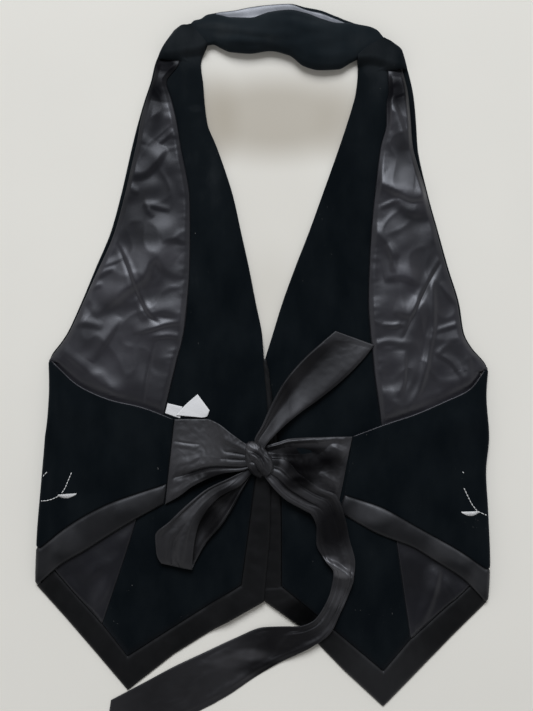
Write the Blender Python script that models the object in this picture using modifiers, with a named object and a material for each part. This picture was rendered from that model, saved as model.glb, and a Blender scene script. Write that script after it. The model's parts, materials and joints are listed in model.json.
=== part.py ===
"""Halterneck vest in black velvet and satin, laid face down with its back bands tied in a half bow.

The vest lies on the plane z = 0, neck towards +Y, with the insides of its two fronts facing up.
The fronts' outer velvet is on the plane. A facing, a lining and a hem band lie on each front, the
back panels fold over from the sides, and their satin ties meet in the knot at the middle.
Lengths are in metres. Left and right are the wearer's.
"""

import math
from collections import namedtuple

import bmesh
import bpy
from mathutils import Vector

# Cloth thicknesses and the gap that parts sewn pieces.
VELVET = 0.0016
FACING = 0.0012
SATIN = 0.0010
BAND = 0.0028
SEAM = 0.0003

# Heights of the layers on the plane.
INSIDE_Z = VELVET + SEAM
FRONT_TOP = INSIDE_Z + FACING
REST = 0.0004

# The side fold, where a back panel turns over from the floor.
FOLD_HEIGHT = 0.009
FOLD_RADIUS = FOLD_HEIGHT / 2
FRONT_START = FOLD_RADIUS + 0.0026
BACK_START = FOLD_RADIUS + 0.0011
BACK_Z = 0.0050
BACK_SETTLE = 0.030

# The buttoned overlap down the middle of the front.
BUTTON_RADIUS = 0.0070
BUTTON_THICKNESS = 0.0022
BUTTON_X = -0.008
BUTTON_YS = (-0.063, -0.116, -0.169)
UNDER_LIFT = BUTTON_THICKNESS + SEAM
OVER_LIFT = UNDER_LIFT + BAND + SEAM
LIFT_RAMP = 0.028
UNDER_FULL_X = 0.024
OVER_FULL_X = -0.030
LIFT_FULL_Y = 0.013
LIFT_NONE_Y = 0.050

# The satin's edge lies this far in from the velvet's along the armhole.
ARMHOLE_RIM = 0.0022

# A row across one front: side edge, edge of the lining, middle of the facing, front edge.
Station = namedtuple("Station", "side lining middle front")
# A row across one back panel: armhole edge, seam of the hem band, hem.
BackStation = namedtuple("BackStation", "top seam hem")
# A row across a ribbon: its two edges, its height above what it lies on, its wave and its tilt.
Row = namedtuple("Row", "left right z wave tilt")
# A soft fold: from one point to another, with its half width and its height.
Fold = namedtuple("Fold", "start end width height")
# A place along the hem band: the front's column and row there, and the band's outer edge.
BandPoint = namedtuple("BandPoint", "column row outer")
# A cut through the neckband: x, its top edge, the edge of its upper leaf, its neck edge, its floor.
NeckCut = namedtuple("NeckCut", "x top leaf neck floor puff")

LEFT_FRONT = (
    Station((-0.0900, 0.327), (-0.0810, 0.331), (-0.0700, 0.333), (-0.0600, 0.320)),
    Station((-0.1060, 0.307), (-0.0820, 0.309), (-0.0710, 0.308), (-0.0595, 0.306)),
    Station((-0.1110, 0.289), (-0.0890, 0.288), (-0.0730, 0.287), (-0.0585, 0.287)),
    Station((-0.1170, 0.271), (-0.0900, 0.272), (-0.0740, 0.270), (-0.0575, 0.270)),
    Station((-0.1240, 0.247), (-0.0850, 0.246), (-0.0690, 0.246), (-0.0540, 0.247)),
    Station((-0.1300, 0.223), (-0.0805, 0.221), (-0.0610, 0.222), (-0.0450, 0.223)),
    Station((-0.1410, 0.175), (-0.0720, 0.172), (-0.0510, 0.173), (-0.0290, 0.175)),
    Station((-0.1510, 0.139), (-0.0715, 0.137), (-0.0460, 0.138), (-0.0210, 0.139)),
    Station((-0.1660, 0.103), (-0.0720, 0.103), (-0.0440, 0.103), (-0.0130, 0.103)),
    Station((-0.1810, 0.067), (-0.0745, 0.067), (-0.0430, 0.067), (-0.0060, 0.067)),
    Station((-0.1950, 0.037), (-0.0780, 0.037), (-0.0440, 0.037), (0.0000, 0.037)),
    Station((-0.2070, 0.013), (-0.0840, 0.013), (-0.0480, 0.013), (-0.0005, 0.012)),
    Station((-0.2070, -0.041), (-0.0970, -0.041), (-0.0590, -0.043), (-0.0010, -0.042)),
    Station((-0.2130, -0.099), (-0.1120, -0.100), (-0.0770, -0.106), (-0.0060, -0.100)),
    Station((-0.2180, -0.155), (-0.1280, -0.158), (-0.1010, -0.175), (-0.0140, -0.160)),
    Station((-0.2190, -0.186), (-0.1590, -0.252), (-0.1340, -0.284), (-0.0210, -0.212)),
)
RIGHT_FRONT = (
    Station((0.1370, 0.311), (0.1260, 0.319), (0.1130, 0.324), (0.0970, 0.309)),
    Station((0.1470, 0.295), (0.1210, 0.297), (0.1080, 0.297), (0.0940, 0.296)),
    Station((0.1510, 0.277), (0.1210, 0.278), (0.1070, 0.278), (0.0925, 0.277)),
    Station((0.1525, 0.265), (0.1215, 0.265), (0.1055, 0.265), (0.0900, 0.265)),
    Station((0.1540, 0.247), (0.1220, 0.247), (0.1020, 0.247), (0.0845, 0.247)),
    Station((0.1555, 0.223), (0.1180, 0.221), (0.0970, 0.222), (0.0770, 0.223)),
    Station((0.1660, 0.175), (0.1120, 0.171), (0.0860, 0.173), (0.0600, 0.175)),
    Station((0.1760, 0.139), (0.1090, 0.139), (0.0780, 0.139), (0.0470, 0.139)),
    Station((0.1860, 0.103), (0.1070, 0.103), (0.0710, 0.103), (0.0330, 0.103)),
    Station((0.1970, 0.067), (0.1060, 0.067), (0.0660, 0.067), (0.0200, 0.067)),
    Station((0.2090, 0.037), (0.1080, 0.037), (0.0640, 0.037), (0.0115, 0.037)),
    Station((0.2210, 0.007), (0.1110, 0.008), (0.0640, 0.009), (0.0085, 0.009)),
    Station((0.2190, -0.054), (0.1190, -0.054), (0.0760, -0.057), (0.0145, -0.054)),
    Station((0.2180, -0.109), (0.1260, -0.109), (0.0880, -0.119), (0.0190, -0.109)),
    Station((0.2200, -0.169), (0.1340, -0.171), (0.1050, -0.197), (0.0200, -0.169)),
    Station((0.2200, -0.203), (0.1480, -0.267), (0.1210, -0.299), (0.0200, -0.214)),
)
UNDERARM = 11
HEM = len(LEFT_FRONT) - 1

# Where the fronts' grids have their lines: closer where the cloth bends.
FRONT_COLUMNS = (0.0, 0.5, 1.0, 2.0, 2.3, 2.55, 2.7, 2.85, 3.0)
FRONT_ROWS = tuple(range(5)) + tuple(5 + step / 2 for step in range(2 * (HEM - 5) + 1))

# The fold down each side, as (y, x) from the armhole to the hem.
LEFT_FOLD = (
    (0.014, -0.2130),
    (-0.017, -0.2120),
    (-0.046, -0.2135),
    (-0.065, -0.2160),
    (-0.113, -0.2200),
    (-0.161, -0.2240),
    (-0.222, -0.2265),
)
RIGHT_FOLD = (
    (0.008, 0.2270),
    (-0.026, 0.2235),
    (-0.065, 0.2260),
    (-0.100, 0.2230),
    (-0.137, 0.2250),
    (-0.190, 0.2270),
    (-0.236, 0.2250),
)

# From the side, round the point of the hem, to the bottom of the opening and up to the neckline.
LEFT_BAND = (
    BandPoint(0.0, HEM, (-0.2190, -0.2210)),
    BandPoint(0.5, HEM, (-0.1960, -0.2460)),
    BandPoint(1.0, HEM, (-0.1680, -0.2785)),
    BandPoint(2.0, HEM, (-0.1340, -0.3185)),
    BandPoint(2.3, HEM, (-0.0880, -0.2825)),
    BandPoint(2.65, HEM, (-0.0470, -0.2570)),
    BandPoint(3.0, HEM, (0.0020, -0.2290)),
    BandPoint(3.0, HEM - 1, (0.0080, -0.1650)),
    BandPoint(3.0, HEM - 2, (0.0095, -0.1050)),
    BandPoint(3.0, HEM - 3, (0.0070, -0.0480)),
    BandPoint(3.0, UNDERARM, (0.0028, 0.0120)),
)
RIGHT_BAND = (
    BandPoint(0.0, HEM, (0.2175, -0.2345)),
    BandPoint(0.5, HEM, (0.1900, -0.2640)),
    BandPoint(1.0, HEM, (0.1580, -0.2970)),
    BandPoint(2.0, HEM, (0.1210, -0.3350)),
    BandPoint(2.4, HEM, (0.0820, -0.2990)),
    BandPoint(2.75, HEM, (0.0400, -0.2560)),
    BandPoint(3.0, HEM, (-0.0190, -0.2140)),
    BandPoint(3.0, HEM - 1, (-0.0190, -0.1690)),
    BandPoint(3.0, HEM - 2, (-0.0190, -0.1090)),
    BandPoint(3.0, HEM - 3, (-0.0170, -0.0560)),
    BandPoint(3.0, HEM - 3.5, (-0.0080, -0.0200)),
    BandPoint(3.0, UNDERARM, (0.0024, 0.0120)),
    BandPoint(3.0, UNDERARM - 0.5, (0.0070, 0.0235)),
)

# From the side fold to the seam of the tie.
LEFT_BACK = (
    BackStation((-0.2130, 0.009), (-0.2230, -0.175), (-0.2260, -0.212)),
    BackStation((-0.2000, -0.002), (-0.2020, -0.160), (-0.2020, -0.193)),
    BackStation((-0.1800, -0.017), (-0.1770, -0.144), (-0.1770, -0.179)),
    BackStation((-0.1500, -0.029), (-0.1520, -0.1315), (-0.1520, -0.163)),
    BackStation((-0.1200, -0.036), (-0.1270, -0.1225), (-0.1270, -0.148)),
    BackStation((-0.0880, -0.048), (-0.0945, -0.112), (-0.0972, -0.132)),
)
RIGHT_BACK = (
    BackStation((0.2270, 0.000), (0.2260, -0.196), (0.2250, -0.229)),
    BackStation((0.2080, -0.018), (0.2030, -0.182), (0.2030, -0.208)),
    BackStation((0.1830, -0.030), (0.1780, -0.168), (0.1780, -0.192)),
    BackStation((0.1530, -0.043), (0.1500, -0.1525), (0.1500, -0.175)),
    BackStation((0.1230, -0.053), (0.1180, -0.135), (0.1180, -0.163)),
    BackStation((0.0905, -0.065), (0.0822, -0.123), (0.0756, -0.140)),
)

# The back panels' grids: round the fold, along the top, and from armhole to band.
FOLD_COLUMNS = tuple(0.75 * (step / 5 - 1.0) for step in range(5))
TOP_COLUMNS = tuple((step / 9) ** 1.25 for step in range(10))
BACK_ROWS = 7
BACK_BAND = 0.020

# The largest soft folds of the linings and of the back panels.
LEFT_LINING_FOLDS = (
    Fold((-0.132, 0.104), (-0.098, 0.142), 0.013, 0.0030),
    Fold((-0.128, 0.176), (-0.084, 0.186), 0.011, 0.0022),
    Fold((-0.150, 0.072), (-0.112, 0.098), 0.009, 0.0020),
    Fold((-0.120, 0.226), (-0.090, 0.206), 0.010, 0.0022),
    Fold((-0.168, 0.056), (-0.184, 0.028), 0.010, 0.0022),
    Fold((-0.112, 0.060), (-0.100, 0.014), 0.009, 0.0018),
)
RIGHT_LINING_FOLDS = (
    Fold((0.118, 0.186), (0.158, 0.176), 0.010, 0.0030),
    Fold((0.136, 0.118), (0.152, 0.092), 0.011, 0.0024),
    Fold((0.180, 0.106), (0.146, 0.028), 0.009, 0.0026),
    Fold((0.174, 0.030), (0.188, -0.014), 0.009, 0.0022),
    Fold((0.120, 0.066), (0.130, 0.020), 0.010, 0.0018),
    Fold((0.138, 0.232), (0.130, 0.256), 0.010, 0.0016),
)
LEFT_BACK_FOLDS = (
    Fold((-0.206, -0.030), (-0.168, -0.044), 0.012, 0.0016),
    Fold((-0.206, -0.112), (-0.150, -0.096), 0.016, 0.0018),
    Fold((-0.116, -0.052), (-0.104, -0.112), 0.009, 0.0014),
)
RIGHT_BACK_FOLDS = (
    Fold((0.216, -0.050), (0.166, -0.062), 0.013, 0.0016),
    Fold((0.214, -0.150), (0.140, -0.110), 0.016, 0.0020),
    Fold((0.112, -0.070), (0.104, -0.114), 0.009, 0.0012),
)

# The ties. Heights are those of the underside above the fronts, and above the plane for the tail.
LEFT_ROOT = (
    Row((-0.0866, -0.0485), (-0.0956, -0.1325), 0.0018, 0.0006, 0.0),
    Row((-0.0720, -0.0475), (-0.0825, -0.1245), 0.0030, 0.0013, 0.0),
    Row((-0.0550, -0.0475), (-0.0680, -0.1135), 0.0042, 0.0020, 0.0),
    Row((-0.0440, -0.0510), (-0.0540, -0.1065), 0.0052, 0.0022, 0.0),
    Row((-0.0300, -0.0610), (-0.0360, -0.1000), 0.0058, 0.0022, 0.0),
    Row((-0.0190, -0.0690), (-0.0190, -0.0975), 0.0062, 0.0018, 0.0),
    Row((-0.0080, -0.0760), (-0.0080, -0.0930), 0.0066, 0.0010, 0.0),
)
RIGHT_ROOT = (
    Row((0.0742, -0.1395), (0.0890, -0.0655), 0.0018, 0.0006, 0.0),
    Row((0.0620, -0.1300), (0.0730, -0.0650), 0.0024, 0.0012, 0.0),
    Row((0.0460, -0.1190), (0.0500, -0.0655), 0.0030, 0.0018, 0.0),
    Row((0.0310, -0.1070), (0.0290, -0.0665), 0.0030, 0.0018, 0.0),
    Row((0.0180, -0.0970), (0.0160, -0.0700), 0.0026, 0.0012, 0.0),
    Row((0.0010, -0.0900), (0.0010, -0.0745), 0.0030, 0.0006, 0.0),
)
LOOP_UPPER = (
    Row((-0.0120, -0.0950), (-0.0070, -0.0960), 0.0050, 0.0, 0.0),
    Row((-0.0300, -0.1040), (-0.0200, -0.1110), 0.0056, 0.0004, 0.0),
    Row((-0.0540, -0.1160), (-0.0410, -0.1230), 0.0080, 0.0010, 0.0),
    Row((-0.0720, -0.1300), (-0.0560, -0.1390), 0.0095, 0.0014, 0.0),
    Row((-0.0900, -0.1470), (-0.0630, -0.1530), 0.0098, 0.0016, 0.0),
    Row((-0.1050, -0.1620), (-0.0670, -0.1720), 0.0092, 0.0016, 0.0),
    Row((-0.1040, -0.1800), (-0.0685, -0.1880), 0.0078, 0.0010, 0.0),
    Row((-0.0995, -0.1895), (-0.0690, -0.1960), 0.0050, 0.0004, 0.0),
)
LOOP_LOWER = (
    Row((-0.0970, -0.1840), (-0.0670, -0.1915), 0.0022, 0.0, 0.0),
    Row((-0.0900, -0.1690), (-0.0550, -0.1700), 0.0016, 0.0004, 0.0010),
    Row((-0.0770, -0.1510), (-0.0400, -0.1520), 0.0016, 0.0006, 0.0014),
    Row((-0.0560, -0.1340), (-0.0290, -0.1350), 0.0016, 0.0004, 0.0010),
    Row((-0.0360, -0.1160), (-0.0200, -0.1180), 0.0020, 0.0, 0.0006),
    Row((-0.0110, -0.0940), (-0.0068, -0.0952), 0.0030, 0.0, 0.0),
)
SHORT_TAIL = (
    Row((-0.0060, -0.0780), (0.0000, -0.0800), 0.0080, 0.0, 0.0),
    Row((-0.0070, -0.0680), (0.0040, -0.0720), 0.0078, 0.0004, 0.0),
    Row((0.0000, -0.0540), (0.0160, -0.0590), 0.0066, 0.0014, 0.0),
    Row((0.0100, -0.0320), (0.0350, -0.0430), 0.0050, 0.0020, 0.0),
    Row((0.0210, -0.0120), (0.0560, -0.0280), 0.0034, 0.0022, 0.0),
    Row((0.0410, 0.0120), (0.0810, -0.0080), 0.0024, 0.0018, 0.0),
    Row((0.0600, 0.0290), (0.0990, 0.0100), 0.0016, 0.0010, 0.0),
    Row((0.0730, 0.0400), (0.1120, 0.0260), 0.0014, 0.0006, 0.0),
)
LONG_TAIL = (
    Row((0.0000, -0.1000), (0.0020, -0.0860), 0.0170, 0.0, 0.0),
    Row((0.0100, -0.1130), (0.0200, -0.0860), 0.0165, 0.0010, 0.0),
    Row((0.0230, -0.1260), (0.0370, -0.1010), 0.0150, 0.0016, 0.0),
    Row((0.0380, -0.1350), (0.0570, -0.1150), 0.0125, 0.0018, 0.0),
    Row((0.0490, -0.1420), (0.0730, -0.1220), 0.0105, 0.0016, 0.0),
    Row((0.0540, -0.1560), (0.0820, -0.1440), 0.0090, 0.0014, 0.0),
    Row((0.0540, -0.1710), (0.0870, -0.1670), 0.0066, 0.0012, 0.0),
    Row((0.0600, -0.1840), (0.0925, -0.1900), 0.0074, 0.0004, 0.0),
    Row((0.0710, -0.2000), (0.0905, -0.2070), 0.0064, 0.0016, 0.0),
    Row((0.0680, -0.2180), (0.0850, -0.2240), 0.0060, 0.0022, 0.0),
    Row((0.0600, -0.2360), (0.0770, -0.2420), 0.0060, 0.0022, 0.0),
    Row((0.0500, -0.2480), (0.0680, -0.2600), 0.0062, 0.0020, 0.0),
    Row((0.0360, -0.2530), (0.0510, -0.2730), 0.0060, 0.0014, 0.0),
    Row((0.0200, -0.2540), (0.0350, -0.2820), 0.0040, 0.0008, 0.0),
    Row((0.0000, -0.2560), (0.0160, -0.2920), 0.0004, 0.0004, 0.0),
    Row((-0.0270, -0.2670), (-0.0070, -0.3060), 0.0, 0.0, 0.0),
    Row((-0.0570, -0.2810), (-0.0370, -0.3260), 0.0, 0.0, 0.0),
    Row((-0.0870, -0.2950), (-0.0720, -0.3440), 0.0, 0.0, 0.0),
    Row((-0.1170, -0.3110), (-0.1100, -0.3580), 0.0, 0.0, 0.0),
    Row((-0.1510, -0.3290), (-0.1570, -0.3680), 0.0, 0.0, 0.0),
)

NECK_CUTS = (
    NeckCut(-0.0990, 0.3270, 0.3262, 0.3162, 0.0036, 0.0030),
    NeckCut(-0.0920, 0.3340, 0.3330, 0.3165, 0.0036, 0.0060),
    NeckCut(-0.0820, 0.3435, 0.3420, 0.3160, 0.0036, 0.0085),
    NeckCut(-0.0700, 0.3480, 0.3460, 0.3180, 0.0036, 0.0090),
    NeckCut(-0.0590, 0.3515, 0.3495, 0.3215, 0.0036, 0.0090),
    NeckCut(-0.0480, 0.3565, 0.3540, 0.3240, 0.0020, 0.0090),
    NeckCut(-0.0320, 0.3600, 0.3530, 0.3185, 0.0000, 0.0095),
    NeckCut(-0.0120, 0.3645, 0.3535, 0.3170, 0.0000, 0.0100),
    NeckCut(0.0080, 0.3670, 0.3580, 0.3195, 0.0000, 0.0110),
    NeckCut(0.0280, 0.3680, 0.3595, 0.3150, 0.0000, 0.0130),
    NeckCut(0.0430, 0.3640, 0.3560, 0.3045, 0.0000, 0.0135),
    NeckCut(0.0580, 0.3610, 0.3500, 0.3000, 0.0000, 0.0130),
    NeckCut(0.0760, 0.3530, 0.3465, 0.3010, 0.0020, 0.0115),
    NeckCut(0.0900, 0.3475, 0.3440, 0.3080, 0.0036, 0.0105),
    NeckCut(0.1060, 0.3430, 0.3405, 0.3045, 0.0036, 0.0105),
    NeckCut(0.1200, 0.3330, 0.3310, 0.3025, 0.0036, 0.0090),
    NeckCut(0.1330, 0.3225, 0.3210, 0.3025, 0.0036, 0.0060),
    NeckCut(0.1415, 0.3125, 0.3118, 0.3028, 0.0036, 0.0030),
)
NECK_ROLL = 0.0045

KNOT_CENTRE = Vector((-0.0050, -0.0880, 0.0))
KNOT_SIZE = Vector((0.0130, 0.0200, 0.0092))
KNOT_TURN = math.radians(14)
KNOT_SEGMENTS = 20
KNOT_RINGS = 12

LABEL_BACK = (
    Row((-0.0965, -0.0420), (-0.0815, -0.0472), 0.0002, 0.0, 0.0),
    Row((-0.0940, -0.0320), (-0.0790, -0.0355), 0.0006, 0.0, 0.0),
)
LABEL_FRONT = (
    Row((-0.0855, -0.0440), (-0.0590, -0.0462), 0.0018, 0.0, 0.0),
    Row((-0.0760, -0.0335), (-0.0550, -0.0455), 0.0019, 0.0, 0.0),
    Row((-0.0640, -0.0230), (-0.0520, -0.0390), 0.0020, 0.0, 0.0),
)

VELVET_COLOUR = (0.006, 0.008, 0.010, 1.0)
SATIN_COLOUR = (0.030, 0.030, 0.036, 1.0)
LABEL_COLOUR = (0.80, 0.80, 0.80, 1.0)
BUTTON_COLOUR = (0.010, 0.010, 0.012, 1.0)


def clear_scene():
    for obj in list(bpy.data.objects):
        bpy.data.objects.remove(obj, do_unlink=True)


def new_collection(name):
    collection = bpy.data.collections.new(name)
    bpy.context.scene.collection.children.link(collection)
    return collection


def cloth_material(name, colour, roughness):
    material = bpy.data.materials.new(name)
    material.use_nodes = True
    shader = material.node_tree.nodes["Principled BSDF"]
    shader.inputs["Base Color"].default_value = colour
    shader.inputs["Roughness"].default_value = roughness
    shader.inputs["Metallic"].default_value = 0.0
    return material


def smoothstep(value):
    value = min(1.0, max(0.0, value))
    return value * value * (3.0 - 2.0 * value)


def mix(low, high, share):
    return low + (high - low) * share


def slope(values, index):
    """The limited slope of a smooth curve at one of its values, so that it never overshoots."""
    if index in (0, len(values) - 1):
        near = min(index, len(values) - 2)
        return values[near + 1] - values[near]
    before = values[index] - values[index - 1]
    after = values[index + 1] - values[index]
    if before * after <= 0.0:
        return 0.0
    return 2.0 * before * after / (before + after)


def eased(values, at):
    """A value of the smooth curve through evenly spaced values, at a place counted in steps."""
    index = min(len(values) - 2, max(0, int(at)))
    share = at - index
    start, end = values[index], values[index + 1]
    square, cube = share * share, share * share * share
    return (
        start * (2 * cube - 3 * square + 1)
        + end * (3 * square - 2 * cube)
        + slope(values, index) * (cube - 2 * square + share)
        + slope(values, index + 1) * (cube - square)
    )


def eased_point(points, at):
    return Vector((eased([p[0] for p in points], at), eased([p[1] for p in points], at)))


def eased_at(pairs, where):
    """The smooth curve through (place, value) pairs, read at a place between the first and last."""
    places = [p for p, _ in pairs]
    index = 0
    while index < len(pairs) - 2 and (places[index + 1] - where) * (places[-1] - places[0]) < 0:
        index += 1
    share = (where - places[index]) / (places[index + 1] - places[index])
    return eased([value for _, value in pairs], index + min(1.0, max(0.0, share)))


def fold_height(folds, x, y):
    """The height that soft folds add at a point: each is highest midway and fades to its ends."""
    height = 0.0
    point = Vector((x, y))
    for fold in folds:
        start, end = Vector(fold.start), Vector(fold.end)
        along = end - start
        share = (point - start).dot(along) / along.length_squared
        inside = min(1.0, max(0.0, share))
        away = (point - start - along * inside).length / fold.width
        height += fold.height * math.exp(-away * away)
    return height


class Side:
    """One side of the vest: its front, its back panel and the heights of both."""

    def __init__(self, name, stations, fold, band, back, lining_folds, back_folds, sign):
        self.name = name
        self.stations = stations
        self.fold = fold
        self.band = band
        self.back = back
        self.lining_folds = lining_folds
        self.back_folds = back_folds
        self.sign = sign

    def fold_x(self, y):
        return eased_at(self.fold, y)

    def front_point(self, column, row):
        """A point of the front in plan. Columns are 0 at the side, 1, 2 and 3 at the front edge."""
        edges = [eased_point([s[i] for s in self.stations], row) for i in range(4)]
        if row >= UNDERARM:
            edges[0].x = self.fold_x(edges[0].y) - self.sign * FRONT_START
        index = min(2, int(column))
        return edges[index].lerp(edges[index + 1], column - index)

    def lift(self, x, y):
        """How far the front stands off the plane over the buttons and the other front's edge."""
        fade = smoothstep((LIFT_NONE_Y - y) / (LIFT_NONE_Y - LIFT_FULL_Y))
        if self.sign < 0:
            return OVER_LIFT * fade * smoothstep((x - OVER_FULL_X) / LIFT_RAMP + 1.0)
        return UNDER_LIFT * fade * smoothstep((UNDER_FULL_X - x) / LIFT_RAMP + 1.0)

    def front_z(self, x, y, above):
        return self.lift(x, y) + above

    def lining_z(self, x, y, inside):
        """The lining's underside, with its folds where no back panel lies on them."""
        return self.lift(x, y) + INSIDE_Z + inside * fold_height(self.lining_folds, x, y)

    def uncovered(self, row):
        """1 where the lining shows above the back panel, 0 under it."""
        return smoothstep((UNDERARM + 0.45 - row) / 0.8)

    def back_plan(self, along, down):
        """A point of the back panel in plan: along 0 to 1 from the fold, down 0 top, 1 seam, 2 hem."""
        at = along * (len(self.back) - 1)
        lines = [eased_point([s[i] for s in self.back], at) for i in range(3)]
        index = min(1, max(0, int(down)))
        return lines[index].lerp(lines[index + 1], down - index)

    def back_inner(self, along, down):
        """The inside surface of the back velvet on its upper side."""
        plan = self.back_plan(along, down)
        edge = self.back_plan(0.0, down)
        shift = self.fold_x(edge.y) - edge.x - self.sign * FOLD_RADIUS
        plan.x += shift * (1.0 - smoothstep(along * 3.0))
        reach = abs(plan.x - self.fold_x(edge.y)) - FOLD_RADIUS
        settle = math.exp(-max(0.0, reach) / BACK_SETTLE)
        shown = smoothstep(along * 8.0) * smoothstep((1.0 - along) * 8.0)
        relief = shown * fold_height(self.back_folds, plan.x, plan.y)
        height = mix(BACK_Z, FOLD_HEIGHT - VELVET, settle) + relief
        return Vector((plan.x, plan.y, height))

    def turned(self, along, down, thickness):
        """The inside surface of a cloth that comes off the floor and turns over at the side.

        along is below 0 on the floor and round the fold, from -1 at the side seam to 0 on top.
        """
        if along >= 0.0:
            point = self.back_inner(along, down)
            point.z -= thickness - VELVET
            return point
        edge = self.back_plan(0.0, down)
        fold = self.fold_x(edge.y)
        floor_share = 0.25
        if along < floor_share - 1.0:
            share = (along + 1.0) / floor_share
            reach = mix(BACK_START, FOLD_RADIUS, share)
            return Vector((fold - self.sign * reach, edge.y, thickness))
        angle = math.pi * (along + 1.0 - floor_share) / (1.0 - floor_share)
        inner = FOLD_RADIUS - thickness
        x = fold - self.sign * (FOLD_RADIUS - inner * math.sin(angle))
        return Vector((x, edge.y, FOLD_RADIUS - inner * math.cos(angle)))

    def ground(self, x, y):
        """The top of the front at a point, on which the ties rest."""
        return self.lift(x, y) + FRONT_TOP


LEFT = Side(
    "left", LEFT_FRONT, LEFT_FOLD, LEFT_BAND, LEFT_BACK, LEFT_LINING_FOLDS, LEFT_BACK_FOLDS, -1
)
RIGHT = Side(
    "right",
    RIGHT_FRONT,
    RIGHT_FOLD,
    RIGHT_BAND,
    RIGHT_BACK,
    RIGHT_LINING_FOLDS,
    RIGHT_BACK_FOLDS,
    1,
)


def cloth(name, collection, across, down, place, thickness, material):
    """A grid whose points place(u, v) gives, as a wall that grows from them along the normals."""
    work = bmesh.new()
    bmesh.ops.create_grid(work, x_segments=across, y_segments=down, size=0.5)
    for vert in work.verts:
        vert.co = place(vert.co.x + 0.5, vert.co.y + 0.5)
    work.normal_update()
    mesh = bpy.data.meshes.new(name)
    work.to_mesh(mesh)
    work.free()
    obj = bpy.data.objects.new(name, mesh)
    collection.objects.link(obj)
    mesh.materials.append(material)
    mesh.shade_smooth()
    wall = obj.modifiers.new("wall", "SOLIDIFY")
    wall.thickness = thickness
    wall.offset = 1.0
    wall.use_even_offset = True
    return obj


def facing_up(sign, place):
    """The same points with u turned round where the side would make the grid face down."""
    return place if sign < 0 else lambda u, v: place(1.0 - u, v)


def pick(values, share):
    """The value at a share of the way along evenly counted values."""
    return values[round(share * (len(values) - 1))]


def shell(side, collection, velvet):
    """The outer velvet of a front, flat on the plane but for the overlap."""

    def place(u, v):
        point = side.front_point(pick(FRONT_COLUMNS, u), pick(FRONT_ROWS, 1.0 - v))
        return Vector((point.x, point.y, side.front_z(point.x, point.y, 0.0)))

    flat = facing_up(side.sign, place)
    lines = (len(FRONT_COLUMNS) - 1, len(FRONT_ROWS) - 1)
    return cloth(f"front_{side.name}", collection, *lines, flat, VELVET, velvet)


def facing(side, collection, velvet):
    """The velvet facing along the neckline, which widens to the hem."""

    columns = FRONT_COLUMNS[FRONT_COLUMNS.index(1.0):]

    def place(u, v):
        column, row = pick(columns, u), pick(FRONT_ROWS, 1.0 - v)
        point = side.front_point(column, row)
        if column == 1.0:
            point += (side.front_point(2.0, row) - point).normalized() * 2.0 * SEAM
        return Vector((point.x, point.y, side.front_z(point.x, point.y, INSIDE_Z)))

    flat = facing_up(side.sign, place)
    lines = (len(columns) - 1, len(FRONT_ROWS) - 1)
    return cloth(f"facing_{side.name}", collection, *lines, flat, FACING, velvet)


def lining(side, collection, satin):
    """The satin lining between the facing and the armhole, with its largest folds."""

    columns = 8

    def place(u, v):
        row = pick(FRONT_ROWS, 1.0 - v)
        edge = side.front_point(0.0, row)
        inner = side.front_point(1.0, row)
        rim = ARMHOLE_RIM * smoothstep(UNDERARM + 0.5 - row)
        start = edge + (inner - edge).normalized() * rim
        point = start.lerp(inner, u)
        from_edge = min(u, 1.0 - u) * columns - 1.0
        shown = side.uncovered(row) * smoothstep(from_edge) * smoothstep((row - 1.5) / 1.5)
        return Vector((point.x, point.y, side.lining_z(point.x, point.y, shown)))

    flat = facing_up(side.sign, place)
    lines = (columns, len(FRONT_ROWS) - 1)
    return cloth(f"lining_{side.name}", collection, *lines, flat, SATIN, satin)


def band_point(side, at, out):
    """A point of the hem band: at counts its places, out is 0 at the seam and 1 at the edge."""
    index = min(len(side.band) - 2, int(at))
    first, second = side.band[index], side.band[index + 1]
    share = at - index
    seam = side.front_point(
        mix(first.column, second.column, share), mix(first.row, second.row, share)
    )
    edge = Vector(first.outer).lerp(Vector(second.outer), share)
    start = seam + (edge - seam).normalized() * SEAM
    return start.lerp(edge, out)


def front_band(side, collection, satin):
    """The satin band round the hem and up the opening."""
    places = len(side.band) - 1

    def place(u, v):
        point = band_point(side, places * u, 1.0 - v)
        return Vector((point.x, point.y, side.front_z(point.x, point.y, 0.0)))

    flat = facing_up(side.sign, place)
    return cloth(f"front_band_{side.name}", collection, 2 * places, 3, flat, BAND, satin)


def turned_cloth(side, name, collection, rows, first, last, thickness, material):
    """A back piece from the side seam, round the fold and over, between two heights of the panel."""
    columns = (-1.0, *FOLD_COLUMNS, *TOP_COLUMNS)

    def place(u, v):
        return side.turned(pick(columns, u), mix(last, first, v), thickness)

    flat = facing_up(side.sign, place)
    return cloth(name, collection, len(columns) - 1, rows, flat, thickness, material)


def back_pieces(side, collection, velvet, satin):
    """A back panel: its velvet, its lining and the satin band along its hem."""
    seam = 1.0 + SEAM / BACK_BAND
    turned_cloth(side, f"back_{side.name}", collection, BACK_ROWS, 0.0, 1.0, VELVET, velvet)
    turned_cloth(side, f"back_band_{side.name}", collection, 2, seam, 2.0, BAND, satin)

    def place(u, v):
        point = side.back_inner(pick(TOP_COLUMNS, u), mix(1.0, 0.0, v))
        point.z -= SATIN + 2.0 * SEAM
        return point

    flat = facing_up(side.sign, place)
    lines = (len(TOP_COLUMNS) - 1, BACK_ROWS)
    cloth(f"back_lining_{side.name}", collection, *lines, flat, SATIN, satin)


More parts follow.
